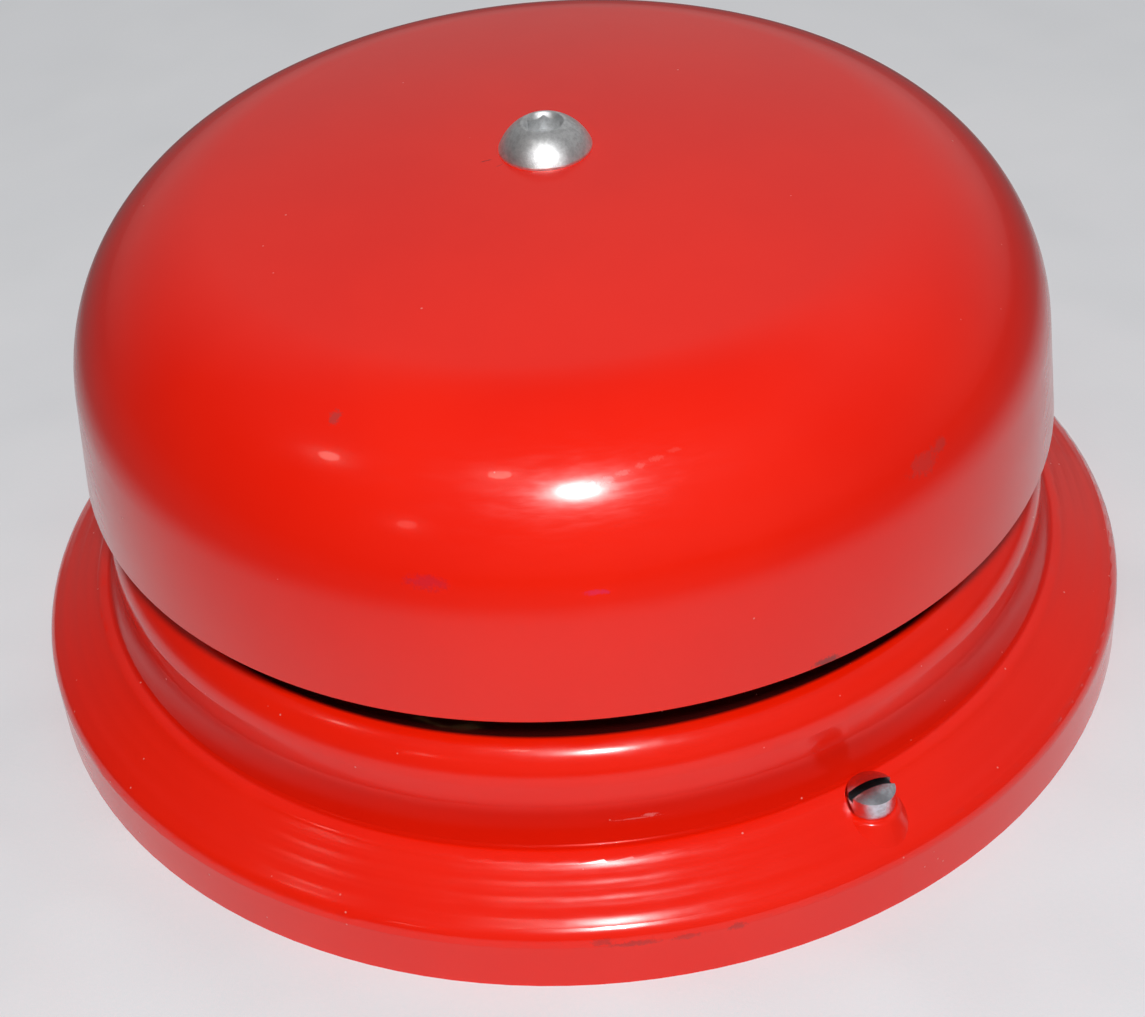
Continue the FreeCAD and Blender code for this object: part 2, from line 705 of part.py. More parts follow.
def gong():
    """A dome of one wall: its outside is turned arcs, its inside the same arcs as chords."""
    shoulder_in = "(dims.gong_shoulder - dims.gong_wall)"
    crown_in = "(dims.crown_radius - dims.gong_wall)"
    pad_foot = "place.crown_z + sqrt(dims.crown_radius^2 - dims.gong_pad_radius^2)"
    middle = "(dims.gong_washer_radius + place.arc_x) / 2"
    inside = [(middle, "place.crown_z + sqrt(%s^2 - (%s)^2)" % (crown_in, middle))]
    for share in (1, 0.8, 0.6, 0.4, 0.2, 0):
        angle = "(dims.rim_draft + %s * (place.crown_angle - dims.rim_draft))" % share
        inside.append(("place.arc_x + %s * cos(%s)" % (shoulder_in, angle),
                       "place.arc_z + %s * sin(%s)" % (shoulder_in, angle)))
    node("gong", turned("gong_shell", [
        ("dims.rim_radius - dims.gong_wall / cos(dims.rim_draft)", "dims.rim_height"),
        ("dims.rim_radius", "dims.rim_height"),
        ("place.arc_x + dims.gong_shoulder * cos(dims.rim_draft)",
         "place.arc_z + dims.gong_shoulder * sin(dims.rim_draft)"),
        ("place.arc_x + dims.gong_shoulder * cos(place.crown_angle)",
         "place.arc_z + dims.gong_shoulder * sin(place.crown_angle)", "left", "dims.gong_shoulder"),
        ("dims.gong_pad_radius", pad_foot, "left", "dims.crown_radius"),
        ("dims.gong_pad_radius - dims.gong_pad_chamfer", "place.gong_seat"),
        ("dims.gong_hole_radius", "place.gong_seat"),
        ("dims.gong_hole_radius", "place.gong_under"),
        ("dims.gong_washer_radius", "place.gong_under"),
    ] + inside))


def gong_screw():
    """A button head: its dome is part of a ball whose centre lies on the axis."""
    rise = "(dims.gong_head_height - dims.gong_head_edge)"
    sides = "(dims.gong_head_radius^2 - dims.gong_head_crown^2)"
    centre = "(%s^2 - %s) / (2 * %s)" % (rise, sides, rise)
    screw = turned("button_screw", [
        (0, "-dims.gong_shank_length"),
        ("dims.gong_shank_radius - 0.6", "-dims.gong_shank_length"),
        ("dims.gong_shank_radius", "0.6 - dims.gong_shank_length"),
        ("dims.gong_shank_radius", 0),
        ("dims.gong_head_radius", 0),
        ("dims.gong_head_radius", "dims.gong_head_edge"),
        ("dims.gong_head_crown", "dims.gong_head_height", "left",
         "sqrt(dims.gong_head_radius^2 + (%s)^2)" % centre),
        (0, "dims.gong_head_height"),
    ])
    socket = padded("gong_socket", hexagon("dims.socket_flats"), "dims.socket_depth + 1",
                    lift="dims.gong_head_height - dims.socket_depth")
    mouth = turned("gong_socket_mouth", [
        (0, "dims.gong_head_height - dims.socket_mouth * 2"),
        ("dims.socket_flats / 2", "dims.gong_head_height - dims.socket_mouth * 2"),
        ("dims.socket_flats / sqrt(3) + dims.socket_mouth", "dims.gong_head_height + 0.1"),
        (0, "dims.gong_head_height + 0.1"),
    ])
    node("gong_screw", moved(cut("button_screw_socketed", screw, [socket, mouth]), 0, 0, "place.gong_seat"))


def gong_post():
    bore = "dims.gong_shank_radius + dims.thread_clearance"
    hole_floor = "place.post_top - dims.post_hole_depth"
    node("gong_post", turned("post", [
        (0, "place.deck_under - dims.post_stud_length"),
        ("dims.post_stud_radius - 0.5", "place.deck_under - dims.post_stud_length"),
        ("dims.post_stud_radius", "place.deck_under - dims.post_stud_length + 0.5"),
        ("dims.post_stud_radius", "place.deck_top"),
        ("dims.post_radius", "place.deck_top"),
        ("dims.post_radius", "place.post_top - 0.5"),
        ("dims.post_radius - 0.5", "place.post_top"),
        ("%s + 0.4" % bore, "place.post_top"),
        (bore, "place.post_top - 0.4"),
        (bore, hole_floor),
        (0, "%s - 2" % hole_floor),
    ]))
    node("gong_washer", moved(padded_ring("fibre_washer", "dims.gong_washer_radius",
                                          "dims.gong_hole_radius", "dims.gong_washer"),
                              0, 0, "place.post_top"))
    node("post_lock_washer", moved(split_ring("lock_washer_ring", "dims.lock_washer_radius",
                                              "dims.post_stud_radius + 0.2", "dims.lock_washer", 1.2),
                                   0, 0, "place.deck_under - dims.lock_washer"))
    nut = padded("hex_nut", hexagon("dims.nut_flats"), "dims.nut_height",
                 circles=[(0, 0, "dims.post_stud_radius + dims.thread_clearance")])
    node("post_nut", moved(nut, 0, 0, "place.deck_under - dims.lock_washer - dims.nut_height"))


def padded_ring(name, outer, inner, thickness):
    body = doc.addObject("PartDesign::Body", name)
    sketch = new_sketch(body, "XY_Plane")
    ring(sketch, 0, 0, outer)
    ring(sketch, 0, 0, inner)
    pad = body.newObject("PartDesign::Pad", name + "_pad")
    pad.Profile = sketch
    pad.setExpression("Length", thickness)
    return body


def split_ring(name, outer, inner, thickness, gap):
    """A flat ring with a gap through one side, as a lock washer or retaining clip has."""
    blank = padded_ring(name, outer, inner, thickness)
    tool = box(name + "_gap", outer, gap, "%s + 2" % thickness, 0, -gap / 2, -1)
    return cut(name + "_split", blank, [tool])


# ---------------------------------------------------------------- magnet

def magnet_frame():
    body = padded("frame_base", [
        ("place.frame_left", "place.frame_back"),
        ("place.frame_left", "place.pivot_y + 3"),
        ("place.pivot_x - 3", "place.frame_front"),
        ("place.pivot_x + 8", "place.frame_front"),
        ("place.pivot_x + 14", "place.yoke_front"),
        ("place.yoke_back", "place.yoke_front"),
        ("place.yoke_back", "place.frame_back"),
    ], "dims.frame_wall")
    moved(body, 0, 0, "place.deck_top")
    top = "place.axis_z + place.bobbin_radius"
    upright = padded("frame_upright", [
        ("place.yoke_front", "place.deck_top + dims.frame_bend"),
        ("place.frame_back", "place.deck_top + dims.frame_bend"),
        ("place.frame_back", "%s - dims.frame_ear_round" % top),
        ("place.frame_back - dims.frame_ear_round", top, "left", "dims.frame_ear_round"),
        ("place.yoke_front + dims.frame_ear_round", top),
        ("place.yoke_front", "%s - dims.frame_ear_round" % top, "left", "dims.frame_ear_round"),
    ], "dims.frame_wall", "YZ_Plane", "place.yoke_x")
    angle = joined("frame_angle", [body, upright])
    bent = rounded("frame_bent", angle, "dims.frame_bend",
                   lambda edge: edge.Curve.TypeId == "Part::GeomLine"
                   and abs(edge.CenterOfMass.x - value("place.yoke_back")) < 0.01
                   and abs(edge.CenterOfMass.z - value("place.deck_top")) < 0.01)
    tools = [cylinder("frame_hole_%d" % i, "dims.fixing_shank_radius + dims.thread_clearance",
                      "dims.frame_wall + 2", x, y, "place.deck_top - 1")
             for i, (x, y) in enumerate(FRAME_SCREWS)]
    tools += [cylinder("yoke_hole_%d" % i, "dims.fixing_shank_radius + dims.thread_clearance",
                       "dims.frame_wall + 2", "place.yoke_x - 1", y, "place.axis_z", "x")
              for i, y in enumerate(("place.coil_near_y", "place.coil_far_y"))]
    tools.append(cylinder("pin_hole", "dims.pin_radius + dims.bearing_clearance", "dims.frame_wall + 2",
                          "place.pivot_x", "place.pivot_y", "place.deck_top - 1"))
    tools.append(cylinder("pin_sink", "dims.pin_head_radius + 0.1", "dims.pin_head + 1.2",
                          "place.pivot_x", "place.pivot_y", "place.deck_top - 1"))
    node("magnet_frame", cut("frame_drilled", bent, tools))


def fixing(name, reach, x, y, z, turn=40):
    """A slotted pan head screw that stands upright, its head's underside at z."""
    screw = turned(name, [
        (0, "-(%s)" % reach),
        ("dims.fixing_shank_radius", "-(%s)" % reach),
        ("dims.fixing_shank_radius", 0),
        ("dims.fixing_head_radius", 0),
        ("dims.fixing_head_radius", "dims.fixing_head / 2"),
        ("dims.fixing_head_radius - dims.fixing_head / 2", "dims.fixing_head"),
        (0, "dims.fixing_head"),
    ])
    moved(screw, x, y, z)
    return slotted(name, screw, "dims.fixing_head_radius", "dims.fixing_slot", "dims.fixing_head / 2",
                   "%s + dims.fixing_head" % z, turn, x, y)


def fixing_from_below(name, reach, x, y, z, turn=40):
    """The same screw driven upwards, its head's underside at z."""
    screw = turned(name, [
        (0, "-dims.fixing_head"),
        ("dims.fixing_head_radius - dims.fixing_head / 2", "-dims.fixing_head"),
        ("dims.fixing_head_radius", "-dims.fixing_head / 2"),
        ("dims.fixing_head_radius", 0),
        ("dims.fixing_shank_radius", 0),
        ("dims.fixing_shank_radius", reach),
        (0, reach),
    ])
    moved(screw, x, y, z)
    return slotted(name, screw, "dims.fixing_head_radius", "dims.fixing_slot", "dims.fixing_head / 2",
                   "%s - dims.fixing_head" % z, turn, x, y, "down")


def frame_screws():
    grip = "dims.frame_wall + dims.base_wall + dims.fixing_reach"
    members = []
    for index, (x, y) in enumerate(FRAME_SCREWS):
        through_foot = index == 1
        z = "place.foot_top" if through_foot else "place.frame_top"
        length = grip + (" + dims.bracket_wall" if through_foot else "")
        members.append(fixing("frame_screw_%d" % index, length, x, y, z, 40 + 35 * index))
    node("frame_screws", group("frame_screw_set", members))


def magnet():
    screws = []
    for name, y in (("near", "place.coil_near_y"), ("far", "place.coil_far_y")):
        tapped = "dims.fixing_shank_radius + dims.thread_clearance"
        core = turned("core_" + name, [
            ("place.pole_x", 0),
            ("place.yoke_x - dims.core_thread - 2", 0),
            ("place.yoke_x - dims.core_thread - 1", tapped),
            ("place.yoke_x", tapped),
            ("place.yoke_x", "dims.core_radius"),
            ("place.pole_x + dims.core_chamfer", "dims.core_radius"),
            ("place.pole_x", "dims.core_radius - dims.core_chamfer"),
        ], "x")
        node("pole_core_" + name, moved(core, 0, y, "place.axis_z"))
        bore = "dims.core_radius + dims.coil_clearance"
        bobbin = turned("bobbin_" + name, [
            ("place.coil_left", bore),
            ("place.coil_right", bore),
            ("place.coil_right", "place.bobbin_radius"),
            ("place.coil_right - dims.flange_wall", "place.bobbin_radius"),
            ("place.coil_right - dims.flange_wall", "dims.tube_radius"),
            ("place.coil_left + dims.flange_wall", "dims.tube_radius"),
            ("place.coil_left + dims.flange_wall", "place.bobbin_radius"),
            ("place.coil_left", "place.bobbin_radius"),
        ], "x")
        node("coil_bobbin_" + name, moved(bobbin, 0, y, "place.axis_z"))
        left = "place.coil_left + dims.flange_wall + dims.coil_clearance"
        right = "place.coil_right - dims.flange_wall - dims.coil_clearance"
        winding = turned("winding_" + name, [
            (left, "dims.tube_radius + dims.coil_clearance"),
            (right, "dims.tube_radius + dims.coil_clearance"),
            (right, "place.winding_radius"),
            (left, "place.winding_radius"),
        ], "x")
        node("coil_winding_" + name, moved(winding, 0, y, "place.axis_z"))
        screw = turned("core_screw_" + name, [
            ("place.yoke_x - dims.core_thread", 0),
            ("place.yoke_back", 0),
            ("place.yoke_back + dims.fixing_head", 0),
            ("place.yoke_back + dims.fixing_head", "dims.fixing_head_radius - dims.fixing_head / 2"),
            ("place.yoke_back + dims.fixing_head / 2", "dims.fixing_head_radius"),
            ("place.yoke_back", "dims.fixing_head_radius"),
            ("place.yoke_back", "dims.fixing_shank_radius"),
            ("place.yoke_x - dims.core_thread", "dims.fixing_shank_radius"),
        ], "x")
        moved(screw, 0, y, "place.axis_z")
        slot = box("core_slot_" + name, "dims.fixing_head", "dims.fixing_slot",
                   "4 * dims.fixing_head_radius", "place.yoke_back + dims.fixing_head / 2",
                   "%s - dims.fixing_slot / 2" % y, "place.axis_z - 2 * dims.fixing_head_radius")
        screws.append(cut("core_screw_slotted_" + name, screw, [slot]))
    node("core_screws", group("core_screw_pair", screws))


# ---------------------------------------------------------------- pivot

def pivot():
    web_left = "-(dims.bracket_web_gap + dims.bracket_wall)"
    front = "-dims.bracket_width / 2"
    back = "dims.bracket_width / 2"
    hole = (0, 0, "dims.pin_radius + dims.bearing_clearance")
    foot = padded("bracket_foot", [
        (web_left, back),
        (web_left, front),
        ("dims.bracket_tail", front),
        ("dims.bracket_tail", "dims.bracket_width / 2 - 3"),
        ("dims.bracket_nose", "dims.bracket_width / 2 - 3"),
        ("dims.bracket_nose", back),
    ], "dims.bracket_wall", circles=[hole, (10, -1.6, "dims.fixing_shank_radius + dims.thread_clearance")])
    moved(foot, "place.pivot_x", "place.pivot_y", "place.frame_top")
    ear = padded("bracket_ear", [
        (web_left, back),
        (web_left, front),
        (0, front),
        (0, back, "left", "dims.bracket_width / 2 + 0.001"),
    ], "dims.bracket_wall", circles=[hole])
    moved(ear, "place.pivot_x", "place.pivot_y", "place.ear_low")
    web = box("bracket_web", "dims.bracket_wall", "dims.bracket_width", "place.ear_high - place.frame_top",
              "place.pivot_x + %s" % web_left, "place.pivot_y + %s" % front, "place.frame_top")
    node("pivot_bracket", joined("bracket", [foot, ear, web]))

    pin = turned("pin", [
        (0, "place.deck_top + 0.1"),
        ("dims.pin_head_radius", "place.deck_top + 0.1"),
        ("dims.pin_head_radius", "place.deck_top + 0.1 + dims.pin_head"),
        ("dims.pin_radius", "place.deck_top + 0.1 + dims.pin_head"),
        ("dims.pin_radius", "place.ear_high + 0.1"),
        ("dims.clip_groove_radius", "place.ear_high + 0.1"),
        ("dims.clip_groove_radius", "place.ear_high + 0.2 + dims.clip_wall"),
        ("dims.pin_radius", "place.ear_high + 0.2 + dims.clip_wall"),
        ("dims.pin_radius", "place.ear_high + 1.4"),
        ("dims.pin_radius - 0.4", "place.ear_high + 1.8"),
        (0, "place.ear_high + 1.8"),
    ])
    node("pivot_pin", moved(pin, "place.pivot_x", "place.pivot_y"))
    clip = split_ring("clip", "dims.clip_radius", "dims.clip_groove_radius + 0.05", "dims.clip_wall", 1.9)
    node("pivot_clip", moved(clip, "place.pivot_x", "place.pivot_y", "place.ear_high + 0.15"))


# ---------------------------------------------------------------- armature, rod and striker

LEAF_RIVETS = ("dims.leaf_start + 3", "dims.leaf_start + 8")


def armature():
    plate = padded("armature_plate", [
        ("-dims.armature_back", 0),
        ("dims.armature_front", 0),
        ("dims.armature_front", "dims.armature_length"),
        ("-dims.armature_back", "dims.armature_length"),
    ], "dims.armature_height", lift="place.knuckle_low")
    knuckle = cylinder("armature_knuckle", "dims.knuckle_radius", "dims.armature_height", 0, 0,
                       "place.knuckle_low")
    lug = padded("armature_lug", [
        ("-dims.lug_left", "1 - dims.lug_end"),
        ("1 - dims.lug_left", "-dims.lug_end", "left", 1),
        ("dims.lug_right", "-dims.lug_end"),
        ("dims.lug_right", "2 - dims.rod_offset"),
        (0, 0),
        ("-dims.lug_left", "2 - dims.rod_offset"),
    ], "dims.lug_height", lift="place.axis_z - dims.lug_height / 2")
    tab = padded("armature_tab", [
        ("-dims.spring_tab", "dims.spring_arm - 2.5"),
        (0, "dims.spring_arm - 2.5"),
        (0, "dims.spring_arm + 2.5"),
        ("-dims.spring_tab", "dims.spring_arm + 2.5"),
    ], "dims.spring_tab_wall", lift="place.axis_z - dims.spring_tab_wall / 2")
    whole = joined("armature_whole", [plate, knuckle, lug, tab])
    tools = [
        cylinder("armature_bore", "dims.pin_radius + dims.bearing_clearance", "dims.armature_height + 2",
                 0, 0, "place.knuckle_low - 1"),
        cylinder("armature_rod_hole", "dims.rod_radius + dims.thread_clearance", 40, -20,
                 "-dims.rod_offset", "place.axis_z", "x"),
        cylinder("armature_spring_hole", "dims.spring_hole_radius", 6, "-dims.spring_hole",
                 "dims.spring_arm", "place.axis_z - 3"),
    ]
    tools += [cylinder("armature_rivet_hole_%d" % i, "dims.leaf_rivet_radius + dims.thread_clearance", 10,
                       -5, y, "place.axis_z", "x") for i, y in enumerate(LEAF_RIVETS)]
    node("armature", swing_back(cut("armature_drilled", whole, tools)))


def hammer():
    start = "-dims.lug_left - 0.5"
    end = "place.reach + dims.striker_length / 2 - 0.5"
    rod = turned("rod", [
        (start, 0),
        (end, 0),
        (end, "dims.rod_radius - 0.4"),
        ("%s - 0.4" % end, "dims.rod_radius"),
        ("%s + 0.4" % start, "dims.rod_radius"),
        (start, "dims.rod_radius - 0.4"),
    ], "x")
    offset_piece("hammer_rod", rod)
    bore = "dims.rod_radius + dims.thread_clearance"
    half = "dims.striker_length / 2"
    head = turned("head", [
        ("place.reach - %s" % half, bore),
        ("place.reach + %s" % half, bore),
        ("place.reach + %s" % half, "dims.striker_radius - dims.striker_chamfer"),
        ("place.reach + %s - dims.striker_chamfer" % half, "dims.striker_radius"),
        ("place.reach - %s + dims.striker_chamfer" % half, "dims.striker_radius"),
        ("place.reach - %s" % half, "dims.striker_radius - dims.striker_chamfer"),
    ], "x")
    offset_piece("striker", head)


def offset_piece(label, thing, y="-dims.rod_offset", z="place.axis_z"):
    """Stand a piece turned about x on the armature, at an offset y from the pivot."""
    moved(thing, "place.pivot_x - (%s) * sin(dims.swing)" % y,
          "place.pivot_y + (%s) * cos(dims.swing)" % y, z, Rotation(Vector(0, 0, 1), 1))
    thing.setExpression("Placement.Rotation.Angle", "dims.swing")
    if label:
        node(label, thing)
    return thing


def contact_spring():
    face = "-dims.armature_back"
    far = "-dims.armature_back - dims.leaf_offset"
    bend = "dims.leaf_bend + 9"
    leaf = padded("leaf", [
        (face, "dims.leaf_start"),
        (face, "dims.leaf_bend"),
        (far, bend),
        (far, "dims.leaf_end"),
        ("%s - dims.leaf_wall" % far, "dims.leaf_end"),
        ("%s - dims.leaf_wall" % far, "%s + 0.1" % bend),
        ("%s - dims.leaf_wall" % face, "dims.leaf_bend + 0.1"),
        ("%s - dims.leaf_wall" % face, "dims.leaf_start"),
    ], "dims.leaf_height", lift="place.axis_z - dims.leaf_height / 2")
    tools = [cylinder("leaf_hole_%d" % i, "dims.leaf_rivet_radius + dims.thread_clearance", 12, -6, y,
                      "place.axis_z", "x") for i, y in enumerate(LEAF_RIVETS + ("dims.contact_arm",))]
    node("contact_spring", swing_back(cut("leaf_drilled", leaf, tools)))

    back = "-dims.armature_back - dims.leaf_wall"
    rivets = []
    for index, y in enumerate(LEAF_RIVETS):
        rivet = turned("leaf_rivet_%d" % index, [
            ("%s - 0.7" % back, 0),
            ("dims.armature_front - 0.1", 0),
            ("dims.armature_front - 0.1", "dims.leaf_rivet_radius"),
            (back, "dims.leaf_rivet_radius"),
            (back, "dims.leaf_rivet_radius * 2"),
            ("%s - 0.7" % back, "dims.leaf_rivet_radius"),
        ], "x")
        rivets.append(offset_piece("", rivet, y))
    node("spring_rivets", group("leaf_rivets", rivets))

    contact = turned("silver_contact", [
        ("-place.contact_face", 0),
        ("0.5 + %s" % far, 0),
        ("0.5 + %s" % far, "dims.leaf_rivet_radius + 0.5"),
        (far, "dims.leaf_rivet_radius + 0.5"),
        (far, "dims.leaf_rivet_radius"),
        ("-place.leaf_face", "dims.leaf_rivet_radius"),
        ("-place.leaf_face", "dims.contact_radius"),
        ("0.3 - place.contact_face", "dims.contact_radius"),
        ("-place.contact_face", "dims.contact_radius - 0.3"),
    ], "x")
    offset_piece("moving_contact", contact, "dims.contact_arm")


# ---------------------------------------------------------------- fixed contact

BRACKET_SCREWS = [("place.contact_bracket_right - 3.2", "place.contact_y - 2.95"),
                  ("place.contact_bracket_right - 3.2", "place.contact_y + 2.95")]


def fixed_contact():
    block = padded("block", [
        ("place.block_left", "place.pivot_y + dims.block_low"),
        ("place.block_right", "place.pivot_y + dims.block_low"),
        ("place.block_right", "place.pivot_y + dims.block_high"),
        ("place.block_left", "place.pivot_y + dims.block_high"),
    ], "dims.block_height")
    moved(block, 0, 0, "place.deck_top")
    clearance = "dims.fixing_shank_radius + dims.thread_clearance"
    tools = [cylinder("block_hole_%d" % i, clearance, "dims.block_height - 1.5", x, y, "place.deck_top - 1")
             for i, (x, y) in enumerate(BLOCK_SCREWS)]
    tools += [cylinder("block_bracket_hole_%d" % i, clearance, "dims.block_height", x, y,
                       "place.deck_top + 1") for i, (x, y) in enumerate(BRACKET_SCREWS)]
    node("contact_block", cut("block_drilled", block, tools))
    node("contact_block_screws", group("block_screw_pair", [
        fixing_from_below("block_screw_%d" % i, "dims.base_wall + dims.block_height - 3", x, y,
                          "place.deck_under") for i, (x, y) in enumerate(BLOCK_SCREWS)]))

    half = "dims.contact_bracket_width / 2"
    foot = box("contact_foot", "place.contact_bracket_right - place.contact_bracket_left",
               "dims.contact_bracket_width", "dims.contact_bracket_wall", "place.contact_bracket_left",
               "place.contact_y - %s" % half, "place.block_top")
    upright = padded("contact_upright", [
        ("place.contact_y - %s" % half, "place.block_top"),
        ("place.contact_y + %s" % half, "place.block_top"),
        ("place.contact_y + %s" % half, "place.axis_z"),
        ("place.contact_y - %s" % half, "place.axis_z", "left", "%s + 0.001" % half),
    ], "dims.contact_bracket_wall", "YZ_Plane", "place.contact_bracket_left",
        [("place.contact_y", "place.axis_z", "dims.contact_screw_radius + dims.thread_clearance")])
    holes = [cylinder("foot_hole_%d" % i, clearance, 5, x, y, "place.block_top - 1")
             for i, (x, y) in enumerate(BRACKET_SCREWS)]
    node("contact_bracket", cut("contact_angle", joined("contact_angle_blank", [foot, upright]), holes))
    node("contact_bracket_screws", group("bracket_screw_pair", [
        fixing("bracket_screw_%d" % i, "dims.contact_bracket_wall + dims.block_height - 2", x, y,
               "place.contact_foot_top", 60) for i, (x, y) in enumerate(BRACKET_SCREWS)]))

    screw = turned("adjusting_screw", [
        ("place.screw_end", 0),
        ("place.tip_x", 0),
        ("place.tip_x", "dims.contact_screw_tip"),
        ("place.tip_x - dims.contact_screw_neck", "dims.contact_screw_tip"),
        ("place.tip_x - dims.contact_screw_neck - dims.contact_screw_taper", "dims.contact_screw_radius"),
        ("place.knurl_face", "dims.contact_screw_radius"),
        ("place.knurl_face", "dims.knurl_radius"),
        ("place.screw_end + dims.knurl_chamfer", "dims.knurl_radius"),
        ("place.screw_end", "dims.knurl_radius - dims.knurl_chamfer"),
    ], "x")
    moved(screw, 0, "place.contact_y", "place.axis_z")
    slot = box("adjusting_slot", "2 * dims.knurl_slot_depth", "dims.knurl_slot", "4 * dims.knurl_radius",
               "place.screw_end - dims.knurl_slot_depth", "place.contact_y - dims.knurl_slot / 2",
               "place.axis_z - 2 * dims.knurl_radius")
    node("contact_screw", cut("adjusting_screw_slotted", screw, [slot]))
    nut = padded("locknut", hexagon("dims.locknut_flats", "place.contact_y", "place.axis_z"),
                 "dims.locknut_height", "YZ_Plane", "place.contact_bracket_left - dims.locknut_height",
                 [("place.contact_y", "place.axis_z", "dims.contact_screw_radius + dims.thread_clearance")])
    node("contact_locknut", nut)


# ---------------------------------------------------------------- return spring

def return_spring():
    node("spring_anchor", moved(turned("anchor", [
        (0, "place.deck_under - 0.6"),
        ("dims.anchor_radius - 0.3", "place.deck_under - 0.6"),
        ("dims.anchor_radius - 0.3", "place.deck_top"),
        ("dims.anchor_foot_radius", "place.deck_top"),
        ("dims.anchor_foot_radius", "place.deck_top + 1.5"),
        ("dims.anchor_radius", "place.deck_top + 2"),
        ("dims.anchor_radius", "place.axis_z + 1.2"),
        ("dims.anchor_radius + 0.7", "place.axis_z + 1.6"),
        ("dims.anchor_radius + 0.7", "place.axis_z + dims.anchor_rise - 0.5"),
        ("dims.anchor_radius", "place.axis_z + dims.anchor_rise"),
        (0, "place.axis_z + dims.anchor_rise"),
    ]), "place.anchor_x", "place.hook_y"))

    coil = value("dims.spring_coil_radius")
    pitch = value("dims.spring_pitch")
    turns = int(value("dims.spring_turns"))
    start = value("place.spring_start")
    end = value("place.spring_end")
    upright = start + value("dims.spring_hook_leg")
    flat = end - value("dims.spring_leg")
    y = value("place.hook_y")
    z = value("place.axis_z")
    # the moving end's hook stands upright, the coil follows, the anchor end's hook lies flat
    points = [Vector(upright - 0.35, y, z - coil)]
    for angle in range(-90, 91, 30):
        turn = math.radians(angle)
        points.append(Vector(upright + coil * math.cos(turn), y, z + coil * math.sin(turn)))
    for step in range(1, 8 * turns + 2):
        turn = math.radians(45 * step)
        across = Vector(0, coil * math.sin(turn), coil * math.cos(turn))
        points.append(Vector(start - pitch * step / 8, y, z) + across)
    points.append(Vector(end - 0.5, y + coil, z))
    for angle in range(90, 271, 30):
        turn = math.radians(angle)
        points.append(Vector(flat + coil * math.cos(turn), y + coil * math.sin(turn), z))
    points.append(Vector(end - 0.9, y - coil, z))
    wire = value("dims.spring_wire_radius")
    corners = [Vector(0, wire * math.cos(math.radians(60 * i)), wire * math.sin(math.radians(60 * i)))
               for i in range(7)]
    section = Part.makePolygon([points[0] + corner for corner in corners])
    spring = doc.addObject("Part::Feature", "spring")
    spring.Shape = Part.makePolygon(points).makePipeShell([section], True, True, 1)
    node("return_spring", spring)


# ---------------------------------------------------------------- terminals

def terminals():
    half = "place.terminal_half"
    wall = "dims.barrier_wall"
    low = "place.terminal_low"
    face = "place.terminal_face"
    top = "place.deck_under"
    ear = "(%s + dims.terminal_ear)" % half
    pitch = "dims.terminal_pitch"
    ear_face = "%s - dims.terminal_ear_wall" % top
    comb = padded("barrier_strip", [
        (ear, top),
        ("-" + ear, top),
        ("-" + ear, ear_face),
        ("-" + half, ear_face),
        ("-" + half, low),
        ("%s - %s" % (wall, half), low),
        ("%s - %s" % (wall, half), face),
        ("-%s / 2" % wall, face),
        ("-%s / 2" % wall, low),
        ("%s / 2" % wall, low),
        ("%s / 2" % wall, face),
        ("%s - %s" % (half, wall), face),
        ("%s - %s" % (half, wall), low),
        (half, low),
        (half, ear_face),
        (ear, ear_face),
    ], "dims.terminal_width", "XZ_Plane", "-dims.terminal_width / 2")
    moved(comb, "dims.terminal_x", "dims.terminal_y")
    clearance = "dims.fixing_shank_radius + dims.thread_clearance"
    spots = [("dims.terminal_x + %s%s / 2" % (sign, pitch),
              "dims.terminal_y + %sdims.terminal_screw_spacing / 2" % end)
             for sign in ("-", "") for end in ("-", "")]
    tools = [cylinder("terminal_hole_%d" % i, clearance, "dims.terminal_base", x, y, "%s - 1" % face)
             for i, (x, y) in enumerate(spots)]
    tools += [cylinder("terminal_ear_hole_%d" % i, clearance, 8, x, y, "%s - 1" % ear_face)
              for i, (x, y) in enumerate(TERMINAL_EARS)]
    node("terminal_block", cut("terminal_strip", comb, tools))
    node("terminal_block_screws", group("terminal_ear_screws", [
        fixing_from_below("ear_screw_%d" % i, "dims.terminal_ear_wall + dims.base_wall"
                          " + dims.terminal_ear_grip", x, y, ear_face)
        for i, (x, y) in enumerate(TERMINAL_EARS)]))
    plates = []
    for index, sign in enumerate(("-", "")):
        centre = "dims.terminal_x + %s%s / 2" % (sign, pitch)
        blank = box("terminal_plate_%d" % index, "dims.terminal_plate_width", "dims.terminal_plate_length",
                    "dims.terminal_plate_wall", "%s - dims.terminal_plate_width / 2" % centre,
                    "dims.terminal_y - dims.terminal_plate_length / 2", "place.terminal_plate_under")
        own = spots[2 * index:2 * index + 2]
        holes = [cylinder("terminal_plate_hole_%d%d" % (index, i), clearance, 5, x, y,
                          "place.terminal_plate_under - 1") for i, (x, y) in enumerate(own)]
        plates.append(cut("terminal_plate_drilled_%d" % index, blank, holes))
    node("terminal_plates", group("terminal_plate_pair", plates))
    reach = "dims.terminal_plate_wall + dims.terminal_base - 1.5"
    node("terminal_screws", group("terminal_screw_set", [
        fixing_from_below("terminal_screw_%d" % i, reach, x, y, "place.terminal_plate_under", 20 + 30 * i)
        for i, (x, y) in enumerate(spots)]))


# ---------------------------------------------------------------- leads

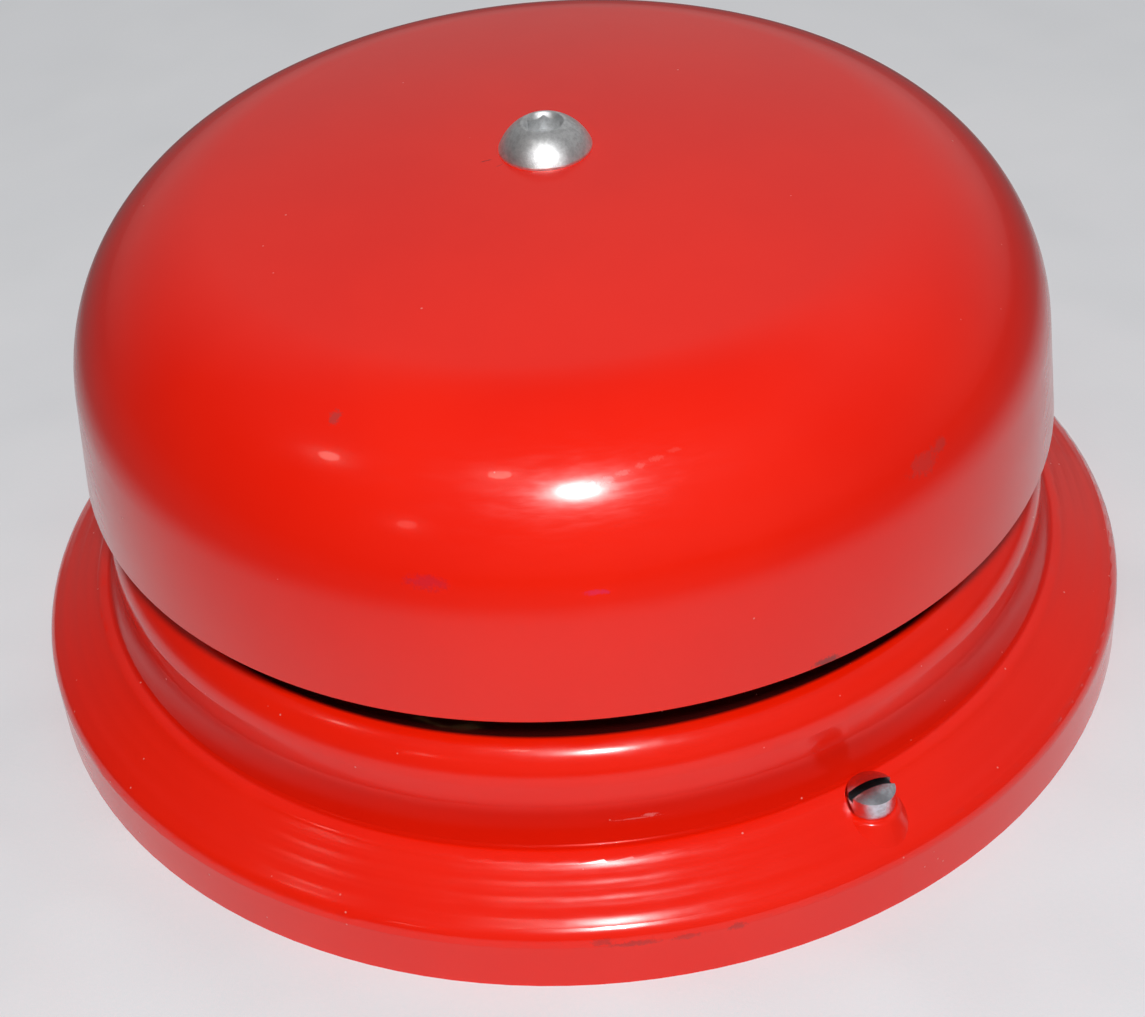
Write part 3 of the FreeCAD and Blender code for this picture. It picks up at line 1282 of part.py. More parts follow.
def lead(label, radius, points, bend):
    """A wire of eight sides along straight runs, whose corners turn in three chords."""
    corners = [Vector(*[value(number) for number in point]) for point in points]
    route = [corners[0]]
    for before, corner, after in zip(corners, corners[1:], corners[2:]):
        inward = (corner - before).normalize()
        outward = (after - corner).normalize()
        turn = inward.getAngle(outward)
        room = 0.48 * min((corner - before).Length, (after - corner).Length)
        back = min(value(bend) * math.tan(turn / 2), room)
        arc_radius = back / math.tan(turn / 2)
        start = corner - inward * back
        across = (outward - inward * math.cos(turn)).normalize()
        for step in range(4):
            angle = turn * step / 3
            route.append(start + inward * (arc_radius * math.sin(angle))
                         + across * (arc_radius * (1 - math.cos(angle))))
    route.append(corners[-1])
    ahead = (route[1] - route[0]).normalize()
    side = ahead.cross(Vector(0, 0, 1) if abs(ahead.z) < 0.9 else Vector(1, 0, 0)).normalize()
    lift = ahead.cross(side)
    section = [route[0] + side * (value(radius) * math.cos(math.radians(45 * i)))
               + lift * (value(radius) * math.sin(math.radians(45 * i))) for i in range(9)]
    wire = doc.addObject("Part::Feature", label + "_wire")
    wire.Shape = Part.makePolygon(route).makePipeShell([Part.makePolygon(section)], True, True, 1)
    return node(label, wire)


def leads():
    node("lead_grommet", moved(turned("grommet", [
        ("dims.grommet_bore", "place.deck_under - dims.grommet_lip"),
        ("dims.grommet_radius - 0.6", "place.deck_under - dims.grommet_lip"),
        ("dims.grommet_radius", "place.deck_under - dims.grommet_lip + 0.6"),
        ("dims.grommet_radius", "place.deck_under"),
        ("dims.grommet_groove", "place.deck_under"),
        ("dims.grommet_groove", "place.deck_top"),
        ("dims.grommet_radius", "place.deck_top"),
        ("dims.grommet_radius", "place.deck_top + dims.grommet_lip - 0.6"),
        ("dims.grommet_radius - 0.6", "place.deck_top + dims.grommet_lip"),
        ("dims.grommet_bore", "place.deck_top + dims.grommet_lip"),
    ]), "dims.grommet_x", "dims.grommet_y"))

    wire_end = "dims.terminal_y - dims.terminal_screw_spacing / 2 - dims.fixing_head_radius - 0.3"
    wire_z = "place.terminal_plate_under - dims.lead_radius - 0.05"
    left_terminal = "dims.terminal_x - dims.terminal_pitch / 2"
    right_terminal = "dims.terminal_x + dims.terminal_pitch / 2"
    low_z = "%s - dims.lead_drop" % wire_z
    near_wire = "dims.grommet_x - dims.lead_pair"
    far_wire = "dims.grommet_x + dims.lead_pair"
    foot_edge = "place.contact_bracket_right - 2.4"
    foot_z = "place.block_top + dims.lead_radius + dims.coil_clearance"
    contact_side = "place.contact_y + dims.contact_bracket_width / 2"
    coil_end = "place.coil_right - 3.5"
    lead("lead_contact", "dims.lead_radius", [
        (left_terminal, wire_end, wire_z),
        (left_terminal, "dims.lead_near_lane + dims.lead_pair", wire_z),
        ("dims.terminal_x - dims.terminal_pitch - dims.post_radius", "dims.lead_near_lane", wire_z),
        ("dims.grommet_x + dims.grommet_radius + 1.9", "dims.lead_near_lane", wire_z),
        (near_wire, "dims.grommet_y - 5", wire_z),
        (near_wire, "dims.grommet_y", wire_z),
        (near_wire, "dims.grommet_y", "place.deck_top + dims.lead_hop"),
        (near_wire + " - 7", "dims.grommet_y - dims.grommet_radius", "place.deck_top + dims.lead_hop - 1"),
        (near_wire + " - 19", "dims.grommet_y - 11", "place.deck_top + dims.lead_hop - 2"),
        (foot_edge, contact_side + " + 15.5", "place.block_top - 3"),
        (foot_edge, contact_side + " + 8.5", foot_z),
        (foot_edge, contact_side, foot_z),
    ], "dims.lead_bend")
    lead("lead_supply", "dims.lead_radius", [
        (right_terminal, wire_end, wire_z),
        (right_terminal, "dims.lead_far_lane", "%s - 1" % wire_z),
        ("dims.terminal_x", "dims.lead_far_lane", low_z),
        ("dims.grommet_x + dims.lead_lane_end + dims.coil_room", "dims.lead_far_lane + 0.6", low_z),
        (far_wire, "dims.grommet_y", "%s - 1" % wire_z),
        (far_wire, "dims.grommet_y", "place.axis_z - 5"),
        (coil_end, "place.coil_far_y + 22", "place.axis_z"),
        (coil_end, "place.coil_far_y + place.winding_radius + dims.coil_clearance", "place.axis_z"),
    ], "dims.lead_bend")
    link_x = "place.coil_left + dims.flange_wall + 3"
    link_z = "place.axis_z + place.bobbin_radius + 2"
    coil_top = "place.axis_z + place.winding_radius + 0.05"
    lead("coil_link", "dims.coil_lead_radius", [
        (link_x, "place.coil_far_y", coil_top),
        (link_x, "place.coil_far_y", link_z),
        (link_x, "place.coil_near_y", link_z),
        (link_x, "place.coil_near_y", coil_top),
    ], "dims.coil_lead_bend")
    side_y = "place.coil_near_y - place.winding_radius - dims.coil_lead_radius - 0.05"
    lead("lead_frame", "dims.coil_lead_radius", [
        (coil_end, side_y, "place.axis_z + 1"),
        (coil_end, side_y, "place.frame_top + dims.lead_hop"),
        ("place.coil_right - 8", "place.pivot_y - 1.6", "place.frame_top + dims.bracket_wall / 2"),
        ("place.pivot_x + dims.bracket_tail", "place.pivot_y - 1.6",
         "place.frame_top + dims.bracket_wall / 2"),
    ], "dims.coil_lead_bend")


# ---------------------------------------------------------------- the bell

base_housing()
back_plate()
plate_standoffs()
cover_screws()
gong()
gong_screw()
gong_post()
magnet_frame()
frame_screws()
magnet()
pivot()
armature()
hammer()
contact_spring()
fixed_contact()
return_spring()
terminals()
leads()

doc.recompute()
failed = [thing.Name for thing in doc.Objects if {"Invalid", "Error"} & set(thing.State)]
if failed:
    raise RuntimeError("objects that failed: " + ", ".join(failed))
for thing in nodes:
    if thing.Shape.isNull() or not thing.Shape.isValid() or thing.Shape.Volume <= 0:
        raise RuntimeError(thing.Label + " has no sound shape")
for thing in nodes:
    thing.Shape.exportStep("parts/%s.step" % thing.Label)
print("%d sub-parts written" % len(nodes))
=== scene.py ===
"""The electric bell's looks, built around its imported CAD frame.

Lengths are metres, unless a name or a comment says mm."""

import json
import math

import bmesh
import bpy
from mathutils import Matrix, Vector


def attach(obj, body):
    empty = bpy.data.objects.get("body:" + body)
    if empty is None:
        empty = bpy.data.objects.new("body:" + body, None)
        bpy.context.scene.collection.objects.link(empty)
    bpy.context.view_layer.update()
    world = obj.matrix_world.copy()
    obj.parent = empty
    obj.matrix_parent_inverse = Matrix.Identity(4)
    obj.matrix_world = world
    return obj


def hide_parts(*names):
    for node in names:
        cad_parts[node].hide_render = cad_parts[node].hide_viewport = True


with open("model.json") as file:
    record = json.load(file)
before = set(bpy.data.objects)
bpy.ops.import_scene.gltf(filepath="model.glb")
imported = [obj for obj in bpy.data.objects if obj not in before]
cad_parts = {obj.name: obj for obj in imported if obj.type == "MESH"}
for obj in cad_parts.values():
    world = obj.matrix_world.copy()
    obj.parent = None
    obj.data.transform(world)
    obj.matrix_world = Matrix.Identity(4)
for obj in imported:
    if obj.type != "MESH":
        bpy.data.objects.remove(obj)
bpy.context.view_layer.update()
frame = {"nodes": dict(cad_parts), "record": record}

MM = 0.001
WHITE = (1.0, 1.0, 1.0, 1.0)

# The camera stands to the front and right of the bell and looks down at it, a little tilted.
CAMERA_TURN = math.radians(61.54)
CAMERA_AWAY = 0.3099
CAMERA_UP = 0.2599
CAMERA_YAW = -0.0019
CAMERA_PITCH = 0.6669
CAMERA_ROLL = -0.0858
SENSOR_MM = 36.0
LENS_MM = 75.04

# Lamps are placed from the camera's side of the bell: x to the right, y away, z up.
FLASH_PLACE = Vector((0.006, -0.373, 0.403))
FLASH_SIZE = 0.045
FLASH_POWER = 1.65
ROOM_LAMPS = (
    # azimuth from the camera to the right, height angle, power
    (-67.3, 45.4, 0.17),
    (-22.0, 56.3, 0.19),
    (-36.9, 25.7, 0.06),
)
ROOM_LAMP_AWAY = 1.2
ROOM_LAMP_SIZE = 0.085
ROOM_LAMP_COLOR = (1.0, 0.9, 0.78)

# The room's glow: near the floor, straight overhead, and the brighter sides, each with its
# azimuth from the far side to the right, its glow and how fast it fades round the room.
LOW_GLOW = 0.08
OVERHEAD_GLOW = 0.20
BRIGHT_SIDES = (
    (20.0, 0.34, 1.0),
    (160.0, 0.16, 1.5),
)
# Heights in the room are the sine of the angle above the level: where the overhead glow starts
# and is full, where the bright sides fade out below the ceiling, and where they come up from the
# dimmer horizon, with the share that is left there.
OVERHEAD_RISE = (0.4, 1.0)
CEILING_FADE = (0.74, 0.97)
HORIZON_RISE = (-0.02, 0.16)
HORIZON_SHARE = 0.6
BACKDROP = (0.9, 0.9, 0.9, 1.0)

# What the bell mirrors of the cloth, and the light it gets from it, fades with the distance from
# the cloth's middle: where that starts, where it ends, and the share that is left there.
CLOTH_SHADE_FROM = 0.12
CLOTH_SHADE_TO = 0.25
CLOTH_SHADE_LEFT = 0.2
CLOTH_MIDDLE = Vector((0.012, -0.02, 0.0))
CLOTH_HALF_SIDE = 3.0
# the cloth's colour as it lights the bell and as it is seen, the painted shade in its folds and
# its own glow
CLOTH_LIGHTING = (0.69, 0.70, 0.715, 1.0)
CLOTH_SEEN = (0.560, 0.568, 0.588, 1.0)
CLOTH_FOLD_SHADE = (0.955, 0.96, 0.97, 1.0)
CLOTH_GLOW_COLOR = (0.97, 0.985, 1.01, 1.0)
CLOTH_GLOW = 0.303


def around(point):
    """Turn a point from the camera's side into the bell's own frame."""
    return Matrix.Rotation(CAMERA_TURN, 3, "Z") @ Vector(point)


# ------------------------------------------------------------------ node helpers

class Nodes:
    """Short ways to add and link the nodes of one tree."""

    def __init__(self, tree):
        self.tree = tree

    def add(self, kind, **settings):
        node = self.tree.nodes.new(kind)
        for name, value in settings.items():
            setattr(node, name, value)
        return node

    def link(self, value, socket):
        if isinstance(value, bpy.types.NodeSocket):
            self.tree.links.new(value, socket)
        else:
            socket.default_value = value

    def math(self, operation, first, second=0.0, third=0.0):
        node = self.add("ShaderNodeMath", operation=operation)
        for value, socket in zip((first, second, third), node.inputs):
            self.link(value, socket)
        return node.outputs[0]

    def vector(self, operation, first, second=(0.0, 0.0, 0.0), output="Vector"):
        node = self.add("ShaderNodeVectorMath", operation=operation)
        self.link(first, node.inputs[0])
        self.link(second, node.inputs[1])
        return node.outputs[output]

    def length(self, vector):
        return self.vector("LENGTH", vector, output="Value")

    def scaled(self, vector, share):
        node = self.add("ShaderNodeVectorMath", operation="SCALE")
        self.link(vector, node.inputs[0])
        self.link(share, node.inputs["Scale"])
        return node.outputs["Vector"]

    def step(self, value, low, high, bottom=0.0, top=1.0):
        node = self.add("ShaderNodeMapRange", interpolation_type="SMOOTHSTEP")
        for name, setting in (("Value", value), ("From Min", low), ("From Max", high),
                              ("To Min", bottom), ("To Max", top)):
            self.link(setting, node.inputs[name])
        return node.outputs["Result"]

    def mix(self, share, first, second):
        node = self.add("ShaderNodeMix", data_type="RGBA")
        self.link(share, node.inputs[0])
        self.link(first, node.inputs[6])
        self.link(second, node.inputs[7])
        return node.outputs[2]

    def noise(self, place, scale, detail=2.0, roughness=0.5):
        node = self.add("ShaderNodeTexNoise")
        self.link(place, node.inputs["Vector"])
        node.inputs["Scale"].default_value = scale
        node.inputs["Detail"].default_value = detail
        node.inputs["Roughness"].default_value = roughness
        return node.outputs[0]

    def cells(self, place, scale, output="Distance"):
        node = self.add("ShaderNodeTexVoronoi")
        self.link(place, node.inputs["Vector"])
        node.inputs["Scale"].default_value = scale
        return node.outputs[output]

    def bump(self, height, strength, distance, normal=None):
        node = self.add("ShaderNodeBump")
        node.inputs["Strength"].default_value = strength
        node.inputs["Distance"].default_value = distance
        self.link(height, node.inputs["Height"])
        if normal is not None:
            self.link(normal, node.inputs["Normal"])
        return node.outputs["Normal"]

    def combine(self, x, y, z):
        node = self.add("ShaderNodeCombineXYZ")
        for value, socket in zip((x, y, z), node.inputs):
            self.link(value, socket)
        return node.outputs[0]

    def split(self, vector):
        node = self.add("ShaderNodeSeparateXYZ")
        self.link(vector, node.inputs[0])
        return node.outputs


def surface(name, color, roughness, metallic=0.0, **sockets):
    """A material with a Principled shader, its node helper and the bell's own coordinates."""
    material = bpy.data.materials.new(name)
    material.use_nodes = True
    nodes = Nodes(material.node_tree)
    shader = material.node_tree.nodes["Principled BSDF"]
    shader.inputs["Base Color"].default_value = (*color, 1.0)
    shader.inputs["Roughness"].default_value = roughness
    shader.inputs["Metallic"].default_value = metallic
    for socket, value in sockets.items():
        shader.inputs[socket.replace("_", " ")].default_value = value
    place = nodes.add("ShaderNodeTexCoord").outputs["Object"]
    return material, nodes, shader, place


# ------------------------------------------------------------------ enamel

# the radius at which lengths round the bell are measured
WRAP_RADIUS = 0.08
# how softly a mark's edge fades, as a share of its size
MARK_EDGE = 0.5

ENAMEL_RED = (0.94, 0.012, 0.0)
ENAMEL_CLOUDS = ((0.92, 0.0105, 0.0002, 1.0), (0.96, 0.0130, 0.0004, 1.0))
ENAMEL_COAT = 0.27
ENAMEL_ROUGHNESS = (0.17, 0.27)
# the depth of the enamel's orange peel
PEEL_DEPTH = 0.00002

DUST_COLOR = (0.9, 0.42, 0.36, 1.0)
DUST_SCALE = 420.0
DUST_SIZE = (0.03, 0.085)
DUST_SHARE = 0.6
DUST_ROUGHNESS = 0.4
# the share of the dust's cells that stays clean, on the gong and on the base
GONG_CLEAN = 0.955
BASE_CLEAN = 0.78

# heights in mm at which the painted shade in the base's hollow, darker and duller with a dimmed
# red reflection, starts, is still full and has faded out, the height over which it starts, and the
# radii between which it ends
HOLLOW_HEIGHTS_MM = (15.8, 20.6, 24.0)
HOLLOW_START_MM = 0.4
HOLLOW_OUT = (0.0770, 0.0776)
# painted shade: the hollow's colour is darkened towards this dark red, by this share
HOLLOW_SHADE_COLOR = (0.46, 0.004, 0.002, 1.0)
HOLLOW_SHADE_SHARE = 0.42
# painted shade on the hollow's reflection: its gloss is tinted this dim red
HOLLOW_SHADED_REFLECTION = (0.60, 0.14, 0.12, 1.0)
HOLLOW_COAT_LOSS = 0.25

# the painted shade, near black, on the deck under the gong: the radii between which it ends
# outward, and the heights between which it starts
DECK_OUT = (0.0707, 0.0713)
DECK_UP = (0.024, 0.026)
# painted shade: the deck under the gong is darkened to near black, by this share
DECK_SHADE_COLOR = (0.004, 0.002, 0.002, 1.0)
DECK_SHADE_SHARE = 0.97

# radius, width and rise in mm of the faint rings that the drawing die left on the flange,
# and the radii between which the flange's flat starts
FLANGE_RIPPLES = (
    (78.7, 1.2, 0.086),
    (81.05, 0.7, 0.026),
    (82.9, 0.7, 0.026),
    (85.4, 1.3, 0.084),
)
FLANGE_OUT = (0.0768, 0.0775)

# Marks in the enamel: azimuth in degrees, distance from the axis and height in mm,
# sizes round, out and up in mm, colour and strength.
GONG_MARKS = (
    (-58.2, 61.8, 76.8, (0.9, 0.9, 0.8), (0.25, 0.06, 0.06), 0.5),
    (-44.3, 73.7, 61.6, (2.6, 2.0, 0.9), (0.45, 0.02, 0.06), 0.35),
    (11.5, 73.3, 62.8, (2.4, 2.0, 1.4), (0.45, 0.05, 0.045), 0.4),
    (14.5, 73.0, 63.6, (1.2, 1.5, 0.8), (0.40, 0.05, 0.045), 0.4),
    (-3.3, 76.2, 40.2, (2.0, 1.0, 0.5), (0.10, 0.03, 0.03), 0.7),
    (-27.1, 74.1, 60.2, (1.5, 1.5, 0.35), (0.80, 0.03, 0.12), 0.5),
    # a rub that trails off from the front towards the right
    (-26.4, 67.3, 72.4, (1.0, 1.0, 0.30), (0.95, 0.40, 0.42), 0.34),
    (-24.6, 66.9, 72.8, (0.8, 1.0, 0.26), (0.95, 0.38, 0.38), 0.30),
    (-22.9, 66.5, 73.2, (1.0, 1.0, 0.22), (0.95, 0.32, 0.30), 0.24),
    (-20.9, 66.1, 73.6, (0.8, 1.0, 0.22), (0.95, 0.28, 0.25), 0.22),
    (-19.0, 65.7, 74.0, (1.1, 1.0, 0.20), (0.95, 0.24, 0.20), 0.18),
    (-16.6, 65.3, 74.4, (1.0, 1.0, 0.20), (0.95, 0.20, 0.16), 0.14),
    # paint crumbs beside the screw
    (-102.6, 9.1, 83.9, (1.2, 0.8, 1.0), (0.30, 0.01, 0.008), 0.8),
    (-87.0, 8.2, 83.9, (1.0, 0.6, 1.0), (0.55, 0.01, 0.008), 0.6),
)
BASE_MARKS = (
    # dark scuffs along the outer wall
    (-29.4, 88.0, 8.6, (1.3, 1.5, 0.5), (0.20, 0.03, 0.03), 0.40),
    (-26.3, 88.0, 7.9, (3.0, 1.5, 0.4), (0.16, 0.03, 0.03), 0.42),
    (-21.7, 88.0, 7.8, (1.6, 1.5, 0.4), (0.20, 0.03, 0.03), 0.34),
    (-17.1, 88.0, 7.8, (1.1, 1.5, 0.5), (0.18, 0.03, 0.03), 0.40),
    # a scratch in the hollow
    (-24.8, 75.4, 19.4, (2.6, 1.2, 0.10), (0.95, 0.35, 0.32), 0.22),
    (-23.4, 75.4, 19.7, (0.9, 1.2, 0.2), (0.95, 0.40, 0.38), 0.30),
)


def wrapped(nodes, place):
    """Coordinates that lie along a round surface: distance round, distance out, height."""
    x, y, z = nodes.split(place)
    out = nodes.length(nodes.combine(x, y, 0.0))
    turn = nodes.math("ARCTAN2", y, x)
    return nodes.math("MULTIPLY", turn, WRAP_RADIUS), out, z


def blot(nodes, coordinates, ragged, azimuth, out_mm, height_mm, sizes_mm):
    """A mark on a round surface, 1 in its middle and 0 outside, with a ragged edge."""
    middle = (math.radians(azimuth) * WRAP_RADIUS, out_mm * MM, height_mm * MM)
    offset = nodes.vector("SUBTRACT", nodes.combine(*coordinates), middle)
    shares = tuple(1 / (size * MM) for size in sizes_mm)
    reach = nodes.length(nodes.vector("MULTIPLY", offset, shares))
    return nodes.step(nodes.math("ADD", reach, ragged), 1.0 - MARK_EDGE, 1.0 + MARK_EDGE, 1.0, 0.0)


def base_painted_shade(nodes, shader, coordinates, color):
    """The base's painted shade: darker and dull in the hollow between neck and flange, with its
    reflection dimmed and reddened, and near black on the deck under the gong."""
    out, height = coordinates[1:]
    start_mm, full_mm, end_mm = HOLLOW_HEIGHTS_MM
    # painted shade in the hollow: darker colour, dimmed red reflection and less coat
    hollow = nodes.math("MULTIPLY",
                        nodes.step(height, start_mm * MM, (start_mm + HOLLOW_START_MM) * MM),
                        nodes.step(height, full_mm * MM, end_mm * MM, 1.0, 0.0))
    hollow = nodes.math("MULTIPLY", hollow, nodes.step(out, *HOLLOW_OUT, 1.0, 0.0))
    color = nodes.mix(nodes.math("MULTIPLY", hollow, HOLLOW_SHADE_SHARE), color, HOLLOW_SHADE_COLOR)
    nodes.link(nodes.mix(hollow, WHITE, HOLLOW_SHADED_REFLECTION), shader.inputs["Specular Tint"])
    nodes.link(nodes.math("MULTIPLY_ADD", hollow, -HOLLOW_COAT_LOSS, ENAMEL_COAT),
               shader.inputs["Coat Weight"])
    # painted shade on the deck under the gong
    deck = nodes.math("MULTIPLY", nodes.step(out, *DECK_OUT, 1.0, 0.0),
                      nodes.step(height, *DECK_UP))
    return nodes.mix(nodes.math("MULTIPLY", deck, DECK_SHADE_SHARE), color, DECK_SHADE_COLOR)


def dust_specks(nodes, place, clean):
    """Fine specks of dust, 1 on a speck and 0 beside it."""
    near = nodes.step(nodes.cells(place, DUST_SCALE), *DUST_SIZE, 1.0, 0.0)
    chance = nodes.split(nodes.cells(place, DUST_SCALE, output="Color"))[0]
    return nodes.math("MULTIPLY", near, nodes.math("GREATER_THAN", chance, clean))


def flange_rings(nodes, out, normal):
    """The flange's faint rings, raised over a normal that is already there."""
    waves = 0.0
    for ring_mm, width_mm, rise_mm in FLANGE_RIPPLES:
        away = nodes.math("ABSOLUTE", nodes.math("SUBTRACT", out, ring_mm * MM))
        waves = nodes.math("ADD", waves, nodes.step(away, 0.0, width_mm * MM, rise_mm, 0.0))
    waves = nodes.math("MULTIPLY", waves, nodes.step(out, *FLANGE_OUT))
    return nodes.bump(waves, 1.0, MM, normal)


def enamel(name, marks, clean, base=False):
    """Glossy red stoving enamel with orange peel, dust, fine rubs and its own marks."""
    material, nodes, shader, place = surface(name, ENAMEL_RED, 0.2, Coat_Weight=ENAMEL_COAT,
                                             Coat_Roughness=0.03, Specular_IOR_Level=0.35)
    coordinates = wrapped(nodes, place)
    round_place = nodes.combine(*coordinates)

    cloud = nodes.noise(place, 28.0, 3.0)
    color = nodes.mix(nodes.step(cloud, 0.35, 0.7), *ENAMEL_CLOUDS)
    # on the base, painted shade in the hollow and on the deck under the gong
    if base:
        color = base_painted_shade(nodes, shader, coordinates, color)

    ragged = nodes.math("MULTIPLY_ADD", nodes.noise(place, 1300.0, 4.0, 0.75), 3.0, -1.5)
    for azimuth, out_mm, height_mm, sizes_mm, tint, strength in marks:
        mask = blot(nodes, coordinates, ragged, azimuth, out_mm, height_mm, sizes_mm)
        color = nodes.mix(nodes.math("MULTIPLY", mask, strength), color, (*tint, 1.0))

    dust = dust_specks(nodes, place, clean)
    color = nodes.mix(nodes.math("MULTIPLY", dust, DUST_SHARE), color, DUST_COLOR)
    nodes.link(color, shader.inputs["Base Color"])

    rubs = nodes.noise(nodes.vector("MULTIPLY", round_place, (1.0, 6.0, 6.0)), 160.0, 3.0, 0.6)
    roughness = nodes.step(rubs, 0.3, 0.85, *ENAMEL_ROUGHNESS)
    nodes.link(nodes.math("MULTIPLY_ADD", dust, DUST_ROUGHNESS, roughness),
               shader.inputs["Roughness"])

    peel = nodes.noise(place, 260.0, 2.0)
    grain = nodes.noise(place, 1400.0, 2.0)
    height = nodes.math("MULTIPLY_ADD", grain, 0.10, peel)
    normal = nodes.bump(height, 0.5, PEEL_DEPTH)
    if base:
        normal = flange_rings(nodes, coordinates[1], normal)
    nodes.link(normal, shader.inputs["Normal"])
    return material


# ------------------------------------------------------------------ metals

# the cover screws' slots: distance from the axis in mm, turn in degrees,
# half width and floor height in mm
COVER_SLOTS = (80.5, 82.0, 0.70, 16.0)
# painted shade in the cover screws' slots: its near-black colour and its share
SLOT_SHADE_COLOR = (0.03, 0.032, 0.03, 1.0)
SLOT_SHADE_SHARE = 0.7

# the pitch in mm of a lathe's rings, and of the windings' wire
LATHE_PITCH_MM = 0.25
WIRE_PITCH_MM = 0.42


def in_slots(nodes, place, slots):
    """1 in the slots of two screws that stand on the X axis, 0 elsewhere."""
    away_mm, turn, half_mm, floor_mm = slots
    x, y, z = nodes.split(place)
    beside = nodes.math("SUBTRACT", x,
                        nodes.math("MULTIPLY", nodes.math("SIGN", x), away_mm * MM))
    across = nodes.math("SUBTRACT",
                        nodes.math("MULTIPLY", beside, math.sin(math.radians(turn))),
                        nodes.math("MULTIPLY", y, math.cos(math.radians(turn))))
    return nodes.math("MULTIPLY", nodes.math("GREATER_THAN", z, (floor_mm - 0.03) * MM),
                      nodes.step(nodes.math("ABSOLUTE", across), (half_mm - 0.02) * MM,
                                 (half_mm + 0.05) * MM, 1.0, 0.0))


def plated(name, color, roughness, spread=0.12, blotch=900.0, dent=0.00001, metallic=1.0,
           slots=()):
    """Zinc or bare steel: blotchy, finely pitted, a little brighter on what is rubbed.
    The slots of screws on the X axis are darkened with painted shade."""
    material, nodes, shader, place = surface(name, color, roughness, metallic=metallic)
    patches = nodes.noise(place, blotch, 4.0, 0.65)
    dark = tuple(channel * 0.72 for channel in color)
    tint = nodes.mix(nodes.step(patches, 0.3, 0.7), (*dark, 1.0), (*color, 1.0))
    if slots:
        # painted shade in the slots
        slot_shade = nodes.math("MULTIPLY", in_slots(nodes, place, slots), SLOT_SHADE_SHARE)
        tint = nodes.mix(slot_shade, tint, SLOT_SHADE_COLOR)
    nodes.link(tint, shader.inputs["Base Color"])
    nodes.link(nodes.step(patches, 0.25, 0.75, roughness + spread, roughness),
               shader.inputs["Roughness"])
    pits = nodes.noise(place, blotch * 4.0, 3.0, 0.7)
    nodes.link(nodes.bump(pits, 0.6, dent), shader.inputs["Normal"])
    return material


def turned_metal(name, color, roughness, axis):
    """Brass or steel from a lathe, with faint rings across one axis."""
    material, nodes, shader, place = surface(name, color, roughness, metallic=1.0)
    along = nodes.split(place)[axis]
    rings = nodes.math("SINE", nodes.math("MULTIPLY", along, 2 * math.pi / (LATHE_PITCH_MM * MM)))
    stain = nodes.noise(place, 500.0, 3.0)
    dark = tuple(channel * 0.7 for channel in color)
    tint = nodes.mix(nodes.step(stain, 0.35, 0.7), (*dark, 1.0), (*color, 1.0))
    nodes.link(tint, shader.inputs["Base Color"])
    nodes.link(nodes.step(stain, 0.2, 0.8, roughness + 0.12, roughness),
               shader.inputs["Roughness"])
    nodes.link(nodes.bump(rings, 0.3, 0.000004), shader.inputs["Normal"])
    return material


# ------------------------------------------------------------------ the other materials

def winding(name):
    """Close turns of enamelled copper wire, wound round the X axis."""
    material, nodes, shader, place = surface(name, (0.42, 0.13, 0.045), 0.3, metallic=0.6,
                                             Coat_Weight=0.5, Coat_Roughness=0.15)
    along = nodes.math("MULTIPLY", nodes.split(place)[0], 2 * math.pi / (WIRE_PITCH_MM * MM))
    slant = nodes.math("MULTIPLY", nodes.noise(place, 60.0), 1.4)
    turns = nodes.math("ABSOLUTE", nodes.math("SINE", nodes.math("ADD", along, slant)))
    # painted shade: the wire is darker in the grooves between its turns
    tint = nodes.mix(turns, (0.16, 0.04, 0.015, 1.0), (0.48, 0.16, 0.055, 1.0))
    nodes.link(tint, shader.inputs["Base Color"])
    nodes.link(nodes.bump(turns, 0.8, 0.0001), shader.inputs["Normal"])
    return material


def moulded(name, color, roughness, fleck):
    """Moulded plastic or phenolic with a fine flecked skin."""
    material, nodes, shader, place = surface(name, color, roughness)
    flecks = nodes.noise(place, 1100.0, 4.0, 0.7)
    tint = nodes.mix(nodes.step(flecks, 0.45, 0.75), (*color, 1.0), (*fleck, 1.0))
    nodes.link(tint, shader.inputs["Base Color"])
    nodes.link(nodes.step(flecks, 0.3, 0.7, roughness, roughness + 0.15),
               shader.inputs["Roughness"])
    nodes.link(nodes.bump(flecks, 0.35, 0.00002), shader.inputs["Normal"])
    return material


